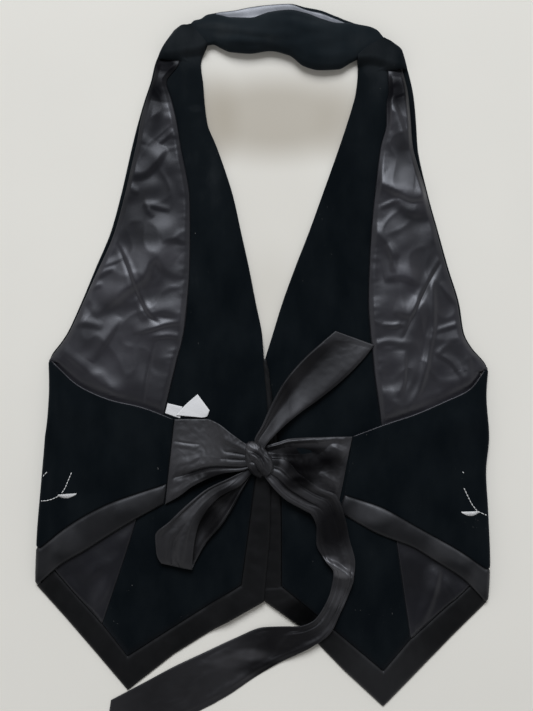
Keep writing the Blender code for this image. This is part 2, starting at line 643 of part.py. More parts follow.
def ribbon_place(rows, side_of, waves, phase=0.0):
    """The underside of a ribbon through its rows, resting on what side_of gives at each point."""

    def place(u, v):
        at = (len(rows) - 1) * v
        left = eased_point([r.left for r in rows], at)
        right = eased_point([r.right for r in rows], at)
        point = left.lerp(right, u)
        height = eased([r.z for r in rows], at)
        wave = eased([r.wave for r in rows], at)
        tilt = eased([r.tilt for r in rows], at)
        height += wave * (1.0 + math.sin(2.0 * math.pi * (waves * u + phase)))
        height += tilt * (2.0 * u - 1.0)
        return Vector((point.x, point.y, side_of(point.x, point.y) + height))

    return place


def plane(x, y):
    return 0.0


def tie_roots(collection, satin):
    """The wide ends of the ties, gathered towards the knot."""
    left = ribbon_place(LEFT_ROOT, lambda x, y: LEFT.ground(x, y) + REST, 2.5, 0.15)
    right = ribbon_place(RIGHT_ROOT, lambda x, y: opening_ground(x, y) + REST, 2.0, 0.4)
    return [
        cloth("tie_root_left", collection, 12, 10, lambda u, v: left(1 - u, 1 - v), SATIN, satin),
        cloth("tie_root_right", collection, 12, 10, lambda u, v: right(1 - u, v), SATIN, satin),
    ]


def opening_ground(x, y):
    """A smooth height above both fronts beside the opening."""
    over = OVER_LIFT * smoothstep((0.040 - x) / 0.030)
    under = RIGHT.lift(x, y)
    left = LEFT.lift(min(x, OVER_FULL_X), y) if x < OVER_FULL_X else over
    fade = smoothstep((LIFT_NONE_Y - y) / (LIFT_NONE_Y - LIFT_FULL_Y))
    return FRONT_TOP + max(under, left * fade)


def loop(collection, satin):
    """The loop of the bow: out on top, round its end, and back underneath."""
    rows = LOOP_UPPER + LOOP_LOWER
    inside = ribbon_place(rows, lambda x, y: LEFT.ground(x, y) + REST + SATIN, 1.0, 0.55)

    def place(u, v):
        return inside(1.0 - u, v)

    return cloth("tie_loop", collection, 6, 26, place, SATIN, satin)


def tails(collection, satin):
    """The two free ends of the tie."""
    short = ribbon_place(SHORT_TAIL, lambda x, y: opening_ground(x, y) + REST, 1.0, 0.30)
    long = ribbon_place(LONG_TAIL, plane, 1.5, 0.1)
    return [
        cloth("tie_short_tail", collection, 6, 14, lambda u, v: short(u, v), SATIN, satin),
        cloth("tie_long_tail", collection, 6, 38, lambda u, v: long(1 - u, v), SATIN, satin),
    ]


def knot_mesh(name, grow):
    """The knot: a leaning egg with two soft furrows, all of it grown by the same amount."""
    work = bmesh.new()
    bmesh.ops.create_uvsphere(
        work, u_segments=KNOT_SEGMENTS, v_segments=KNOT_RINGS, radius=1.0
    )
    bottom = LEFT.ground(KNOT_CENTRE.x, KNOT_CENTRE.y) + REST
    turn = Vector((math.cos(KNOT_TURN), math.sin(KNOT_TURN)))
    for vert in work.verts:
        unit = vert.co.copy()
        furrow = 1.0 - 0.12 * math.exp(-(((unit.x - 0.45 * unit.y - 0.35) / 0.16) ** 2))
        furrow -= 0.08 * math.exp(-(((unit.x + 0.35 * unit.y + 0.55) / 0.14) ** 2))
        size = KNOT_SIZE + Vector((grow, grow, grow))
        flat = Vector((unit.x * size.x * furrow, unit.y * size.y * furrow))
        height = max(unit.z, -0.92) * size.z * furrow
        vert.co = Vector(
            (
                KNOT_CENTRE.x + flat.x * turn.x - flat.y * turn.y,
                KNOT_CENTRE.y + flat.x * turn.y + flat.y * turn.x,
                bottom + 0.92 * KNOT_SIZE.z + height,
            )
        )
    mesh = bpy.data.meshes.new(name)
    work.to_mesh(mesh)
    work.free()
    return mesh


def knot(collection, cutters, satin):
    """The knot, and the cutter that ends each tie a seam's width short of it."""
    body = bpy.data.objects.new("tie_knot", knot_mesh("tie_knot", 0.0))
    body.data.materials.append(satin)
    body.data.shade_smooth()
    collection.objects.link(body)
    cutter = bpy.data.objects.new("knot_cutter", knot_mesh("knot_cutter", SEAM))
    cutter.hide_render = True
    cutter.display_type = "WIRE"
    cutters.objects.link(cutter)
    return cutter


def cut(obj, cutter):
    """Ends a tie short of the knot."""
    modifier = obj.modifiers.new("knot", "BOOLEAN")
    modifier.operation = "DIFFERENCE"
    modifier.object = cutter


def neck_cut(x):
    """The neckband's sizes at one place along it."""
    xs = [c.x for c in NECK_CUTS]
    index = 0
    while index < len(xs) - 2 and xs[index + 1] < x:
        index += 1
    at = index + (x - xs[index]) / (xs[index + 1] - xs[index])
    return NeckCut(*(eased([c[i] for c in NECK_CUTS], at) for i in range(6)))


def neck_section(x, share):
    """The inside of the neckband: along the floor to the neck edge, round it, and back on top."""
    sizes = neck_cut(x)
    wall = VELVET
    roll = min(NECK_ROLL, 0.5 * sizes.puff + 0.0012)
    low, high = sizes.floor + wall, sizes.floor + wall + 2.0 * roll
    neck = sizes.neck + wall + roll
    if share < 0.3:
        part = share / 0.3
        return Vector((x, mix(sizes.top, neck, part), low))
    if share < 0.6:
        angle = math.pi * (share - 0.3) / 0.3
        return Vector((x, neck - roll * math.sin(angle), low + roll - roll * math.cos(angle)))
    part = (share - 0.6) / 0.4
    swell = math.sin(math.pi * part) * 0.35 * sizes.puff
    drop = part * part * (2.0 * roll - wall - SATIN - 2.0 * SEAM)
    return Vector((x, mix(neck, sizes.leaf, part), high + swell - drop))


def neckband(collection, velvet, satin):
    """The band behind the neck, folded over on itself so that its satin shows at the top."""
    first, last = NECK_CUTS[0].x, NECK_CUTS[-1].x

    def outer(u, v):
        return neck_section(mix(first, last, u), 1.0 - v)

    def inner(u, v):
        x = mix(first + 0.030, last - 0.030, u)
        sizes = neck_cut(x)
        point = neck_section(x, 0.02)
        low = mix(sizes.top - 0.0012, sizes.leaf - 0.008, 1.0 - v)
        return Vector((x, low, point.z + SEAM))

    cloth("neckband", collection, 24, 11, lambda u, v: outer(u, 1 - v), VELVET, velvet)
    cloth("neckband_lining", collection, 18, 2, inner, SATIN, satin)


def labels(collection, material):
    """The two leaves of the care label, which come out from under the back panel."""
    for name, rows in (("care_label_back", LABEL_BACK), ("care_label_front", LABEL_FRONT)):
        place = ribbon_place(rows, lambda x, y: LEFT.ground(x, y) + REST, 0.0, -0.25)
        cloth(name, collection, 3, 5, place, SATIN, material)


def buttons(collection, material):
    """The buttons of the front, under the overlap, on the side that lies on the plane."""
    for number, y in enumerate(BUTTON_YS, start=1):
        bpy.ops.mesh.primitive_cylinder_add(
            vertices=20,
            radius=BUTTON_RADIUS,
            depth=BUTTON_THICKNESS,
            location=(BUTTON_X, y, BUTTON_THICKNESS / 2),
        )
        button = bpy.context.object
        button.name = f"button_{number}"
        button.data.materials.append(material)
        for holder in list(button.users_collection):
            holder.objects.unlink(button)
        collection.objects.link(button)


def main():
    clear_scene()
    vest = new_collection("halterneck_vest")
    cutters = new_collection("cutters")
    velvet = cloth_material("black velvet", VELVET_COLOUR, 0.95)
    satin = cloth_material("black satin", SATIN_COLOUR, 0.38)
    paper = cloth_material("white label tape", LABEL_COLOUR, 0.70)
    horn = cloth_material("black button", BUTTON_COLOUR, 0.35)
    for side in (LEFT, RIGHT):
        shell(side, vest, velvet)
        facing(side, vest, velvet)
        lining(side, vest, satin)
        front_band(side, vest, satin)
        back_pieces(side, vest, velvet, satin)
    neckband(vest, velvet, satin)
    cutter = knot(vest, cutters, satin)
    for tie in [*tie_roots(vest, satin), loop(vest, satin), *tails(vest, satin)]:
        cut(tie, cutter)
    labels(vest, paper)
    buttons(vest, horn)


main()
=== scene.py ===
"""A halterneck vest in black velvet and satin, laid face down with its back bands tied in a half bow.

Every piece of cloth is a thin shell on the form of its solid, with its creases listed one by one.
Lengths are in metres, the vest lies on z = 0, and left and right are the wearer's.
"""

import json
import logging
import math
from collections.abc import Callable, Sequence
from dataclasses import dataclass
from enum import Enum

import bpy
import numpy as np
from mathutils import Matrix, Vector

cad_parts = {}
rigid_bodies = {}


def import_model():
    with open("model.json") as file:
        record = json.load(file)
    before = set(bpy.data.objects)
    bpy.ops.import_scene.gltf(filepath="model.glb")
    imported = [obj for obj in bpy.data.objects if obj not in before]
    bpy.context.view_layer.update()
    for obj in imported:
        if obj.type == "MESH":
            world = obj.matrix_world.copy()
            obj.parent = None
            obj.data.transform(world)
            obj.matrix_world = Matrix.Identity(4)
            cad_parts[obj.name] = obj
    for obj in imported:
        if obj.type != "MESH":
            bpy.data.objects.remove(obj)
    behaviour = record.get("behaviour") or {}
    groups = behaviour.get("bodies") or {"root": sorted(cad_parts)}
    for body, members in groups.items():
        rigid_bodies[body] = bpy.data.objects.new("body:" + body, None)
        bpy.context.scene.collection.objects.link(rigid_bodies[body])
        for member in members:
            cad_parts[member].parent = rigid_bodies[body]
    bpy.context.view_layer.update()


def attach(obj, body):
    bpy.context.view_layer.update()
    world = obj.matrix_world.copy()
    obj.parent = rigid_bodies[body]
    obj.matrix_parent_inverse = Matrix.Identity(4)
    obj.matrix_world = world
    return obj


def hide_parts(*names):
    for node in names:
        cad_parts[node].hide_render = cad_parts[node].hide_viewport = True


log = logging.getLogger("halterneck_vest")

Array = np.ndarray
Place = Callable[[Array, Array], Array]
Pair = tuple[float, float]
Triple = tuple[float, float, float]
Spot = tuple[float, float, float, float]

VELVET = 0.0016
FACING = 0.0012
SATIN = 0.001
BAND = 0.0028
TAPE = 0.0007
SEAM = 0.0003
INSIDE_Z = VELVET + SEAM
FRONT_TOP = INSIDE_Z + FACING
REST = 0.0004
THIN_EDGE = 0.45
FOLD_SHARE = 0.75
BOTH_FRONTS = ("front_left", "front_right")


class Held(Enum):
    """How a sheet of cloth lies."""

    LAID = "laid"
    FOLDED = "folded"
    GATHERED = "gathered"


class Wearer(Enum):
    """The wearer's side, with its sign along X as the vest lies."""

    LEFT = -1
    RIGHT = 1

    @property
    def label(self) -> str:
        """The side's name, as the nodes have it."""
        return self.name.lower()


def rows_of(kind: type, *rows: tuple) -> tuple:
    """Makes one thing of a kind from each row of a table."""
    return tuple(kind(*row) for row in rows)


def smoothstep(value: Array) -> Array:
    """Eases a value from 0 to 1 between 0 and 1."""
    held = np.clip(value, 0.0, 1.0)
    return held * held * (3.0 - 2.0 * held)


def mix(low: Array, high: Array, share: Array) -> Array:
    """Blends two values, from the first at share 0 to the second at share 1."""
    return low + (high - low) * share


def smooth_line(values: Sequence[float], at: Array) -> Array:
    """Reads the smooth curve through evenly spaced values, which never overshoots them.

    Args:
        values: The values.
        at: Places along them, counted in steps.

    Returns:
        The curve's values there.
    """
    held = np.asarray(values, dtype=float)
    place = np.asarray(at, dtype=float)
    steps = np.diff(held)
    slopes = np.zeros(len(held))
    slopes[0], slopes[-1] = steps[0], steps[-1]
    before, after = steps[:-1], steps[1:]
    turns = before * after <= 0.0
    total = np.where(turns, 1.0, before + after)
    slopes[1:-1] = np.where(turns, 0.0, 2.0 * before * after / total)
    index = np.clip(place.astype(int), 0, len(held) - 2)
    share = place - index
    square = share * share
    cube = square * share
    return (
        held[index] * (2 * cube - 3 * square + 1)
        + held[index + 1] * (3 * square - 2 * cube)
        + slopes[index] * (cube - 2 * square + share)
        + slopes[index + 1] * (cube - square)
    )


def smooth_plan(points: Sequence[Pair], at: Array) -> tuple[Array, Array]:
    """Reads the x and y of the smooth curve through points, at places counted in points."""
    return smooth_line([p[0] for p in points], at), smooth_line([p[1] for p in points], at)


def smooth_at(pairs: Sequence[Pair], where: Array) -> Array:
    """Reads the smooth curve through (place, value) pairs.

    Args:
        pairs: The pairs, with places that only rise or only fall.
        where: The places to read it at.

    Returns:
        The curve's values there.
    """
    places = np.array([p for p, _ in pairs])
    counts = np.arange(len(pairs), dtype=float)
    if places[0] > places[-1]:
        steps = np.interp(-where, -places, counts)
    else:
        steps = np.interp(where, places, counts)
    return smooth_line([value for _, value in pairs], steps)


def between(lines: Sequence[tuple[Array, Array]], at: Array) -> tuple[Array, Array]:
    """Reads points between lines that lie side by side.

    Args:
        lines: The x and y of each line, at every point.
        at: Which line a point is on, with its share of the way to the next.

    Returns:
        The points' x and y.
    """
    index = np.clip(at.astype(int), 0, len(lines) - 2)[None]
    share = at - index[0]
    place = []
    for axis in range(2):
        values = np.stack([line[axis] for line in lines])
        low = np.take_along_axis(values, index, 0)[0]
        high = np.take_along_axis(values, index + 1, 0)[0]
        place.append(mix(low, high, share))
    return place[0], place[1]


def crumple(x: Array, y: Array, size: float, seed: int) -> Array:
    """A soft random relief between about -1 and 1, for the crumpling of cloth.

    Args:
        x: First place, in metres.
        y: Second place, in metres.
        size: The size of one bump, in metres.
        seed: Which relief to use.

    Returns:
        The relief at each place.
    """
    rng = np.random.default_rng(seed)
    turn = rng.uniform(0.0, 2.0 * math.pi, 256)
    order = rng.permutation(256)
    px, py = x / size, y / size
    ix, iy = np.floor(px).astype(int), np.floor(py).astype(int)
    fx, fy = px - ix, py - iy

    def corner(cx: int, cy: int) -> Array:
        """The share of one corner of the lattice."""
        angle = turn[order[(order[(ix + cx) % 256] + iy + cy) % 256]]
        return np.cos(angle) * (fx - cx) + np.sin(angle) * (fy - cy)

    sx = fx * fx * fx * (fx * (fx * 6.0 - 15.0) + 10.0)
    sy = fy * fy * fy * (fy * (fy * 6.0 - 15.0) + 10.0)
    low = mix(corner(0, 0), corner(1, 0), sx)
    high = mix(corner(0, 1), corner(1, 1), sx)
    return 1.5 * mix(low, high, sy)


def lumps(x: Array, y: Array, size: float, seed: int) -> Array:
    """Soft noise as from crumple, but from 0 to 1."""
    return 0.5 + 0.5 * crumple(x, y, size, seed)


def wrinkles(x: Array, y: Array, size: float, seed: int) -> Array:
    """Thin ridges between soft dents, as crushed satin keeps.

    Args:
        x: First place, in metres.
        y: Second place, in metres.
        size: The size of one dent, in metres.
        seed: Which relief to use.

    Returns:
        The relief, from 0 in the dents to 1 on the ridges.
    """
    warp = 0.35 * size * crumple(x, y, 2.2 * size, seed + 7)
    return (1.0 - np.minimum(1.0, 2.2 * np.abs(crumple(x + warp, y - warp, size, seed)))) ** 2


@dataclass(frozen=True)
class Crease:
    """A crease along a smooth line: its height, and its width to the left and right of the line."""

    points: tuple[Pair, ...]
    height: float
    left: float
    right: float

    def relief(self, x: Array, y: Array) -> Array:
        """The height that the crease adds.

        Args:
            x: Places along X.
            y: Places along Y.

        Returns:
            The height at each place, nothing at the crease's ends.
        """
        count = 4 * (len(self.points) - 1) + 1
        line_x, line_y = smooth_plan(self.points, np.linspace(0, len(self.points) - 1, count))
        lengths = np.hypot(np.diff(line_x), np.diff(line_y))
        starts = np.concatenate(([0.0], np.cumsum(lengths)))
        nearest = np.full(x.shape, 1e9)
        across = np.zeros(x.shape)
        along = np.zeros(x.shape)
        for index in range(count - 1):
            dx, dy = line_x[index + 1] - line_x[index], line_y[index + 1] - line_y[index]
            rel_x, rel_y = x - line_x[index], y - line_y[index]
            share = np.clip((rel_x * dx + rel_y * dy) / lengths[index] ** 2, 0.0, 1.0)
            away = np.hypot(rel_x - share * dx, rel_y - share * dy)
            side = np.where(dx * rel_y - dy * rel_x >= 0.0, 1.0, -1.0)
            closer = away < nearest
            nearest = np.where(closer, away, nearest)
            across = np.where(closer, side * away, across)
            along = np.where(closer, (starts[index] + share * lengths[index]) / starts[-1], along)
        width = np.where(across >= 0.0, self.left, self.right)
        return self.height * np.exp(-((across / width) ** 2)) * np.sin(math.pi * along) ** 0.6


def creased(creases: Sequence[Crease], x: Array, y: Array) -> Array:
    """The height that several creases add together.

    Args:
        creases: The creases.
        x: Places along X.
        y: Places along Y.

    Returns:
        The height at each place.
    """
    height = np.zeros(x.shape)
    for crease in creases:
        height = height + crease.relief(x, y)
    return height


class Shader:
    """A material's node tree, with short calls for the nodes that the finishes share."""

    def __init__(self, name: str) -> None:
        """Starts a material.

        Args:
            name: The material's name.
        """
        self.material = bpy.data.materials.new(name)
        self.material.use_nodes = True
        self.nodes = self.material.node_tree.nodes
        self.links = self.material.node_tree.links
        self.body = self.nodes["Principled BSDF"]
        self.place = self.nodes.new("ShaderNodeTexCoord")

    def fixed(self, **values: object) -> None:
        """Sets sockets of the shader itself.

        Args:
            values: Socket names, with _ for a space, and their values.
        """
        for name, value in values.items():
            self.body.inputs[name.replace("_", " ")].default_value = value

    def stretched(self, scale: Triple, by_uv: bool = False) -> object:
        """Coordinates stretched along the axes.

        Args:
            scale: How many times along each axis.
            by_uv: Whether to follow the piece's own UV map.

        Returns:
            The socket with the coordinates.
        """
        mapping = self.nodes.new("ShaderNodeMapping")
        mapping.inputs["Scale"].default_value = scale
        self.links.new(self.place.outputs["UV" if by_uv else "Object"], mapping.inputs["Vector"])
        return mapping.outputs["Vector"]

    def noise(self, scale: float, detail: float, vector: object = None) -> object:
        """A noise texture.

        Args:
            scale: Bumps in a metre.
            detail: How many finer layers it has.
            vector: The coordinates, or none for the object's own.

        Returns:
            The socket with its value.
        """
        node = self.nodes.new("ShaderNodeTexNoise")
        node.inputs["Scale"].default_value = scale
        node.inputs["Detail"].default_value = detail
        self.links.new(vector or self.place.outputs["Object"], node.inputs["Vector"])
        return node.outputs["Fac"]

    def ramp(self, value: object, stops: Sequence[tuple[float, tuple[float, ...]]]) -> object:
        """A colour ramp.

        Args:
            value: The socket it reads.
            stops: Places and their colours.

        Returns:
            The socket with the colour.
        """
        node = self.nodes.new("ShaderNodeValToRGB")
        while len(node.color_ramp.elements) < len(stops):
            node.color_ramp.elements.new(0.5)
        for element, (at, colour) in zip(node.color_ramp.elements, stops):
            element.position = at
            element.color = (*colour, 1.0) if len(colour) == 3 else colour
        self.links.new(value, node.inputs["Fac"])
        return node.outputs["Color"]

    def span(self, value: object, low: float, high: float) -> object:
        """Brings a value from 0 to 1 into a range.

        Args:
            value: The socket it reads.
            low: What 0 becomes.
            high: What 1 becomes.

        Returns:
            The socket with the new value.
        """
        node = self.nodes.new("ShaderNodeMapRange")
        node.inputs["To Min"].default_value = low
        node.inputs["To Max"].default_value = high
        self.links.new(value, node.inputs["Value"])
        return node.outputs["Result"]

    def math(self, kind: str, first: object, second: object) -> object:
        """Joins two values.

        Args:
            kind: The operation.
            first: A socket.
            second: A socket or a number.

        Returns:
            The socket with the result.
        """
        node = self.nodes.new("ShaderNodeMath")
        node.operation = kind
        self.links.new(first, node.inputs[0])
        if isinstance(second, (int, float)):
            node.inputs[1].default_value = second
        else:
            self.links.new(second, node.inputs[1])
        return node.outputs["Value"]

    def colour_mix(self, share: object, low: object, high: Triple) -> object:
        """Mixes a colour into another.

        Args:
            share: The socket that says how much.
            low: The socket of the first colour.
            high: The second colour.

        Returns:
            The socket with the mixed colour.
        """
        node = self.nodes.new("ShaderNodeMix")
        node.data_type = "RGBA"
        self.links.new(share, node.inputs["Factor"])
        self.links.new(low, node.inputs["A"])
        node.inputs["B"].default_value = (*high, 1.0)
        return node.outputs["Result"]

    def patch(self, place: Spot, strength: float) -> object:
        """A soft round patch on the cloth.

        Args:
            place: Its middle along X and Y, and its half widths along X and Y.
            strength: Its value in the middle.

        Returns:
            The socket with its value, nothing outside it.
        """
        mapping = self.nodes.new("ShaderNodeMapping")
        mapping.vector_type = "TEXTURE"
        mapping.inputs["Location"].default_value = (place[0], place[1], 0.0)
        mapping.inputs["Scale"].default_value = (place[2], place[3], 1.0)
        self.links.new(self.place.outputs["Object"], mapping.inputs["Vector"])
        length = self.nodes.new("ShaderNodeVectorMath")
        length.operation = "LENGTH"
        self.links.new(mapping.outputs["Vector"], length.inputs[0])
        fade = self.nodes.new("ShaderNodeMapRange")
        fade.interpolation_type = "SMOOTHSTEP"
        fade.inputs["From Min"].default_value = 0.3
        fade.inputs["To Min"].default_value = strength
        fade.inputs["To Max"].default_value = 0.0
        self.links.new(length.outputs["Value"], fade.inputs["Value"])
        return fade.outputs["Result"]

    def bump(self, height: object, strength: float, depth: float) -> None:
        """Adds a bump over those already there.

        Args:
            height: The socket with the height.
            strength: How strong it looks.
            depth: How deep it is, in metres.
        """
        node = self.nodes.new("ShaderNodeBump")
        node.inputs["Strength"].default_value = strength
        node.inputs["Distance"].default_value = depth
        self.links.new(height, node.inputs["Height"])
        if self.body.inputs["Normal"].links:
            self.links.new(self.body.inputs["Normal"].links[0].from_socket, node.inputs["Normal"])
        self.links.new(node.outputs["Normal"], self.body.inputs["Normal"])

    def feed(self, name: str, value: object) -> None:
        """Links a value to a named socket of the shader."""
        self.links.new(value, self.body.inputs[name])


@dataclass(frozen=True)
class VelvetFinish:
    """Black velvet: a deep pile that is brushed in patches, with a little lint on it, and given
    patches that lighten it, one of them a painted sheen.
    """

    name: str = "black velvet"
    deep: Triple = (0.0004, 0.0019, 0.0034)
    brushed: Triple = (0.003, 0.0051, 0.007)
    rubbed: Triple = (0.012, 0.015, 0.018)
    lint: float = 0.22
    sheen: float = 0.05
    patches: tuple[Spot, ...] = ()

    def material(self) -> object:
        """Builds the velvet.

        Returns:
            The material.
        """
        shader = Shader(self.name)
        shader.fixed(Roughness=0.95, Specular_IOR_Level=0.09, Sheen_Weight=self.sheen)
        shader.fixed(Sheen_Roughness=0.45, Sheen_Tint=(0.75, 0.82, 1.0, 1.0))
        brushed = shader.noise(34.0, 5.0, shader.stretched((1.0, 0.55, 1.0)))
        # Each patch lightens the pile towards its rubbed colour; on the neckband one of them is a
        # painted sheen.
        for patch in self.patches:
            brushed = shader.math("ADD", brushed, shader.patch(patch, 0.16))
        pile = shader.ramp(brushed, ((0.36, self.deep), (0.68, self.brushed), (0.95, self.rubbed)))
        flecks = shader.noise(760.0, 1.0, shader.stretched((1.0, 0.55, 1.0)))
        spread = shader.noise(26.0, 2.0)
        few = shader.math("MULTIPLY", flecks, shader.span(spread, 0.55, 1.35))
        specks = shader.ramp(few, ((0.83, (0.0, 0.0, 0.0)), (0.87, (1.0, 1.0, 1.0))))
        share = shader.math("MULTIPLY", specks, 0.55)
        shader.feed("Base Color", shader.colour_mix(share, pile, (self.lint,) * 3))
        shader.bump(shader.noise(2600.0, 2.0), 0.35, 0.0004)
        shader.bump(shader.noise(170.0, 3.0), 0.25, 0.0006)
        return shader.material


@dataclass(frozen=True)
class SatinFinish:
    """Black satin: a smooth face with fine threads and faint crinkles, and given patches of painted
    highlight and painted shade.
    """

    name: str
    colour: Triple
    # The lighter tone, from random cloudiness and from painted highlights.
    worn: Triple
    roughness: float
    crinkle: float
    gloss: float
    patches: tuple[tuple[float, float, float, float, float], ...] = ()

    def material(self) -> object:
        """Builds the satin.

        Returns:
            The material.
        """
        shader = Shader(self.name)
        shader.fixed(Specular_Tint=(0.88, 0.91, 1.0, 1.0))
        shader.fixed(Sheen_Weight=0.03, Sheen_Roughness=0.4, Sheen_Tint=(0.85, 0.9, 1.0, 1.0))
        cloudy = shader.noise(16.0, 4.0)
        rubbed = shader.noise(60.0, 4.0)
        gloss = shader.span(rubbed, self.gloss - 0.04, self.gloss + 0.04)
        # Each patch is a painted highlight or a painted shade: it lightens or darkens the colour and
        # raises or lowers the gloss.
        for *place, strength in self.patches:
            painted_light_patch = shader.patch(tuple(place), strength)
            cloudy = shader.math("ADD", cloudy, painted_light_patch)
            gloss = shader.math("ADD", gloss, painted_light_patch)
        shader.feed("Specular IOR Level", shader.math("MAXIMUM", gloss, 0.02))
        dark = tuple(0.5 * c for c in self.colour)
        pale = tuple(1.5 * c for c in self.worn)
        stops = ((0.05, dark), (0.35, self.colour), (0.65, self.worn), (0.95, pale))
        shader.feed("Base Color", shader.ramp(cloudy, stops))
        shader.feed("Roughness", shader.span(rubbed, self.roughness - 0.07, self.roughness + 0.07))
        across = shader.noise(1.0, 2.0, shader.stretched((4200.0, 320.0, 1.0), by_uv=True))
        along = shader.noise(1.0, 2.0, shader.stretched((260.0, 3400.0, 1.0), by_uv=True))
        shader.bump(shader.math("ADD", across, along), 0.16, 0.0002)
        shader.bump(shader.noise(120.0, 4.0), self.crinkle, 0.0012)
        return shader.material


@dataclass(frozen=True)
class ThreadFinish:
    """Twisted thread."""

    name: str
    colour: Triple
    roughness: float = 0.55

    def material(self) -> object:
        """Builds the thread.

        Returns:
            The material.
        """
        shader = Shader(self.name)
        shader.fixed(Roughness=self.roughness, Specular_IOR_Level=0.35, Sheen_Weight=0.15)
        dark = tuple(0.72 * c for c in self.colour)
        twist = shader.noise(1500.0, 2.0)
        shader.feed("Base Color", shader.ramp(twist, ((0.3, dark), (0.62, self.colour))))
        shader.bump(shader.noise(2400.0, 1.0), 0.4, 0.0002)
        return shader.material


@dataclass(frozen=True)
class LabelFinish:
    """White woven tape, left blank."""

    name: str = "white label tape"
    colour: Triple = (0.66, 0.67, 0.7)

    def material(self) -> object:
        """Builds the tape.

        Returns:
            The material.
        """
        shader = Shader(self.name)
        shader.fixed(Roughness=0.62, Specular_IOR_Level=0.4)
        weave = shader.noise(1.0, 2.0, shader.stretched((900.0, 2400.0, 1.0), by_uv=True))
        dull = tuple(0.88 * c for c in self.colour)
        shader.feed("Base Color", shader.ramp(weave, ((0.3, dull), (0.6, self.colour))))
        shader.bump(weave, 0.35, 0.0002)
        return shader.material


@dataclass(frozen=True)
class ButtonFinish:
    """Dark moulded plastic."""

    name: str = "black button"
    colour: Triple = (0.008, 0.008, 0.01)

    def material(self) -> object:
        """Builds the plastic.

        Returns:
            The material.
        """
        shader = Shader(self.name)
        cloudy = shader.noise(180.0, 3.0)
        light = tuple(1.8 * c for c in self.colour)
        shader.feed("Base Color", shader.ramp(cloudy, ((0.4, self.colour), (0.7, light))))
        shader.feed("Roughness", shader.span(shader.noise(300.0, 2.0), 0.24, 0.4))
        shader.bump(shader.noise(900.0, 2.0), 0.08, 0.0002)
        return shader.material


@dataclass(frozen=True)
class FloorFinish:
    """A pale plain surface, with a painted shadow on it inside the neckline."""

    name: str = "pale surface"
    colour: Triple = (0.735, 0.725, 0.69)
    # The colour of the painted shadow.
    stain: Triple = (0.3, 0.262, 0.205)
    # Painted shadows inside the neckline, darker beside the straps: middle along X and Y, half widths
    # along X and Y, and strength
    stains: tuple[tuple[Spot, float], ...] = (
        ((0.012, 0.254, 0.15, 0.06), 0.6),
        ((-0.052, 0.252, 0.04, 0.066), 0.34),
        ((0.08, 0.248, 0.04, 0.056), 0.16),
        ((0.006, 0.15, 0.1, 0.16), 0.1),
        ((0.004, 0.045, 0.055, 0.1), 0.14),
    )

    def material(self) -> object:
        """Builds the surface.

        Returns:
            The material.
        """
        shader = Shader(self.name)
        shader.fixed(Roughness=0.8, Specular_IOR_Level=0.2)
        mottle = shader.noise(5.0, 3.0)
        dull = tuple(0.97 * c for c in self.colour)
        plain = shader.ramp(mottle, ((0.3, dull), (0.7, self.colour)))
        # Mixes the painted shadow into the floor's colour in each patch.
        for place, strength in self.stains:
            plain = shader.colour_mix(shader.patch(place, strength), plain, self.stain)
        shader.feed("Base Color", plain)
        return shader.material


# Patches that lighten the velvet: middle along X and Y, half widths along X and Y. On the neckband
# they are brushed nap, and the first is a painted sheen on the facet that faces the light; on the
# facings they lighten it, mostly towards the top
NECK_BRUSHED_AND_PAINTED_SHEEN = (
    (0.097, 0.327, 0.02, 0.012),
    (-0.05, 0.342, 0.026, 0.005),
    (0.01, 0.327, 0.016, 0.006),
    (-0.034, 0.334, 0.03, 0.01),
)
FACING_LIGHTER = (
    (-0.066, 0.262, 0.012, 0.006),
    (-0.075, 0.31, 0.05, 0.06),
    (-0.078, 0.325, 0.04, 0.03),
    (-0.062, 0.2, 0.04, 0.12),
    (0.11, 0.3, 0.04, 0.06),
    (0.112, 0.318, 0.04, 0.03),
)

# Patches of painted highlight and painted shade on the satin, which lighten or darken its colour and
# raise or lower its gloss: middle, half widths, and how much more
LINING_PAINTED_LIGHT = (
    (-0.11, 0.19, 0.07, 0.13, -0.26),
    (-0.098, 0.29, 0.034, 0.036, -0.34),
    (-0.096, 0.308, 0.018, 0.016, -0.36),
    (-0.09, 0.256, 0.01, 0.026, 0.22),
    (-0.106, 0.268, 0.012, 0.03, -0.2),
    (-0.13, 0.06, 0.09, 0.09, 0.14),
    (0.14, 0.02, 0.05, 0.08, 0.14),
    (-0.165, -0.2, 0.08, 0.08, -0.3),
    (-0.162, -0.222, 0.016, 0.026, 0.16),
    (0.134, 0.284, 0.03, 0.036, -0.3),
    (0.128, 0.252, 0.008, 0.026, 0.16),
    (0.16, -0.21, 0.08, 0.08, -0.3),
    (0.174, -0.206, 0.018, 0.02, 0.2),
    (0.134, 0.277, 0.014, 0.026, -0.3),
    (0.14, 0.198, 0.024, 0.018, -0.24),
    (0.15, 0.172, 0.026, 0.013, 0.28),
    (0.14, 0.097, 0.018, 0.012, 0.26),
    (-0.1, 0.116, 0.034, 0.018, 0.32),
    (-0.146, 0.108, 0.016, 0.016, -0.2),
    (-0.154, 0.078, 0.028, 0.014, 0.28),
    (-0.102, 0.073, 0.024, 0.01, -0.26),
)
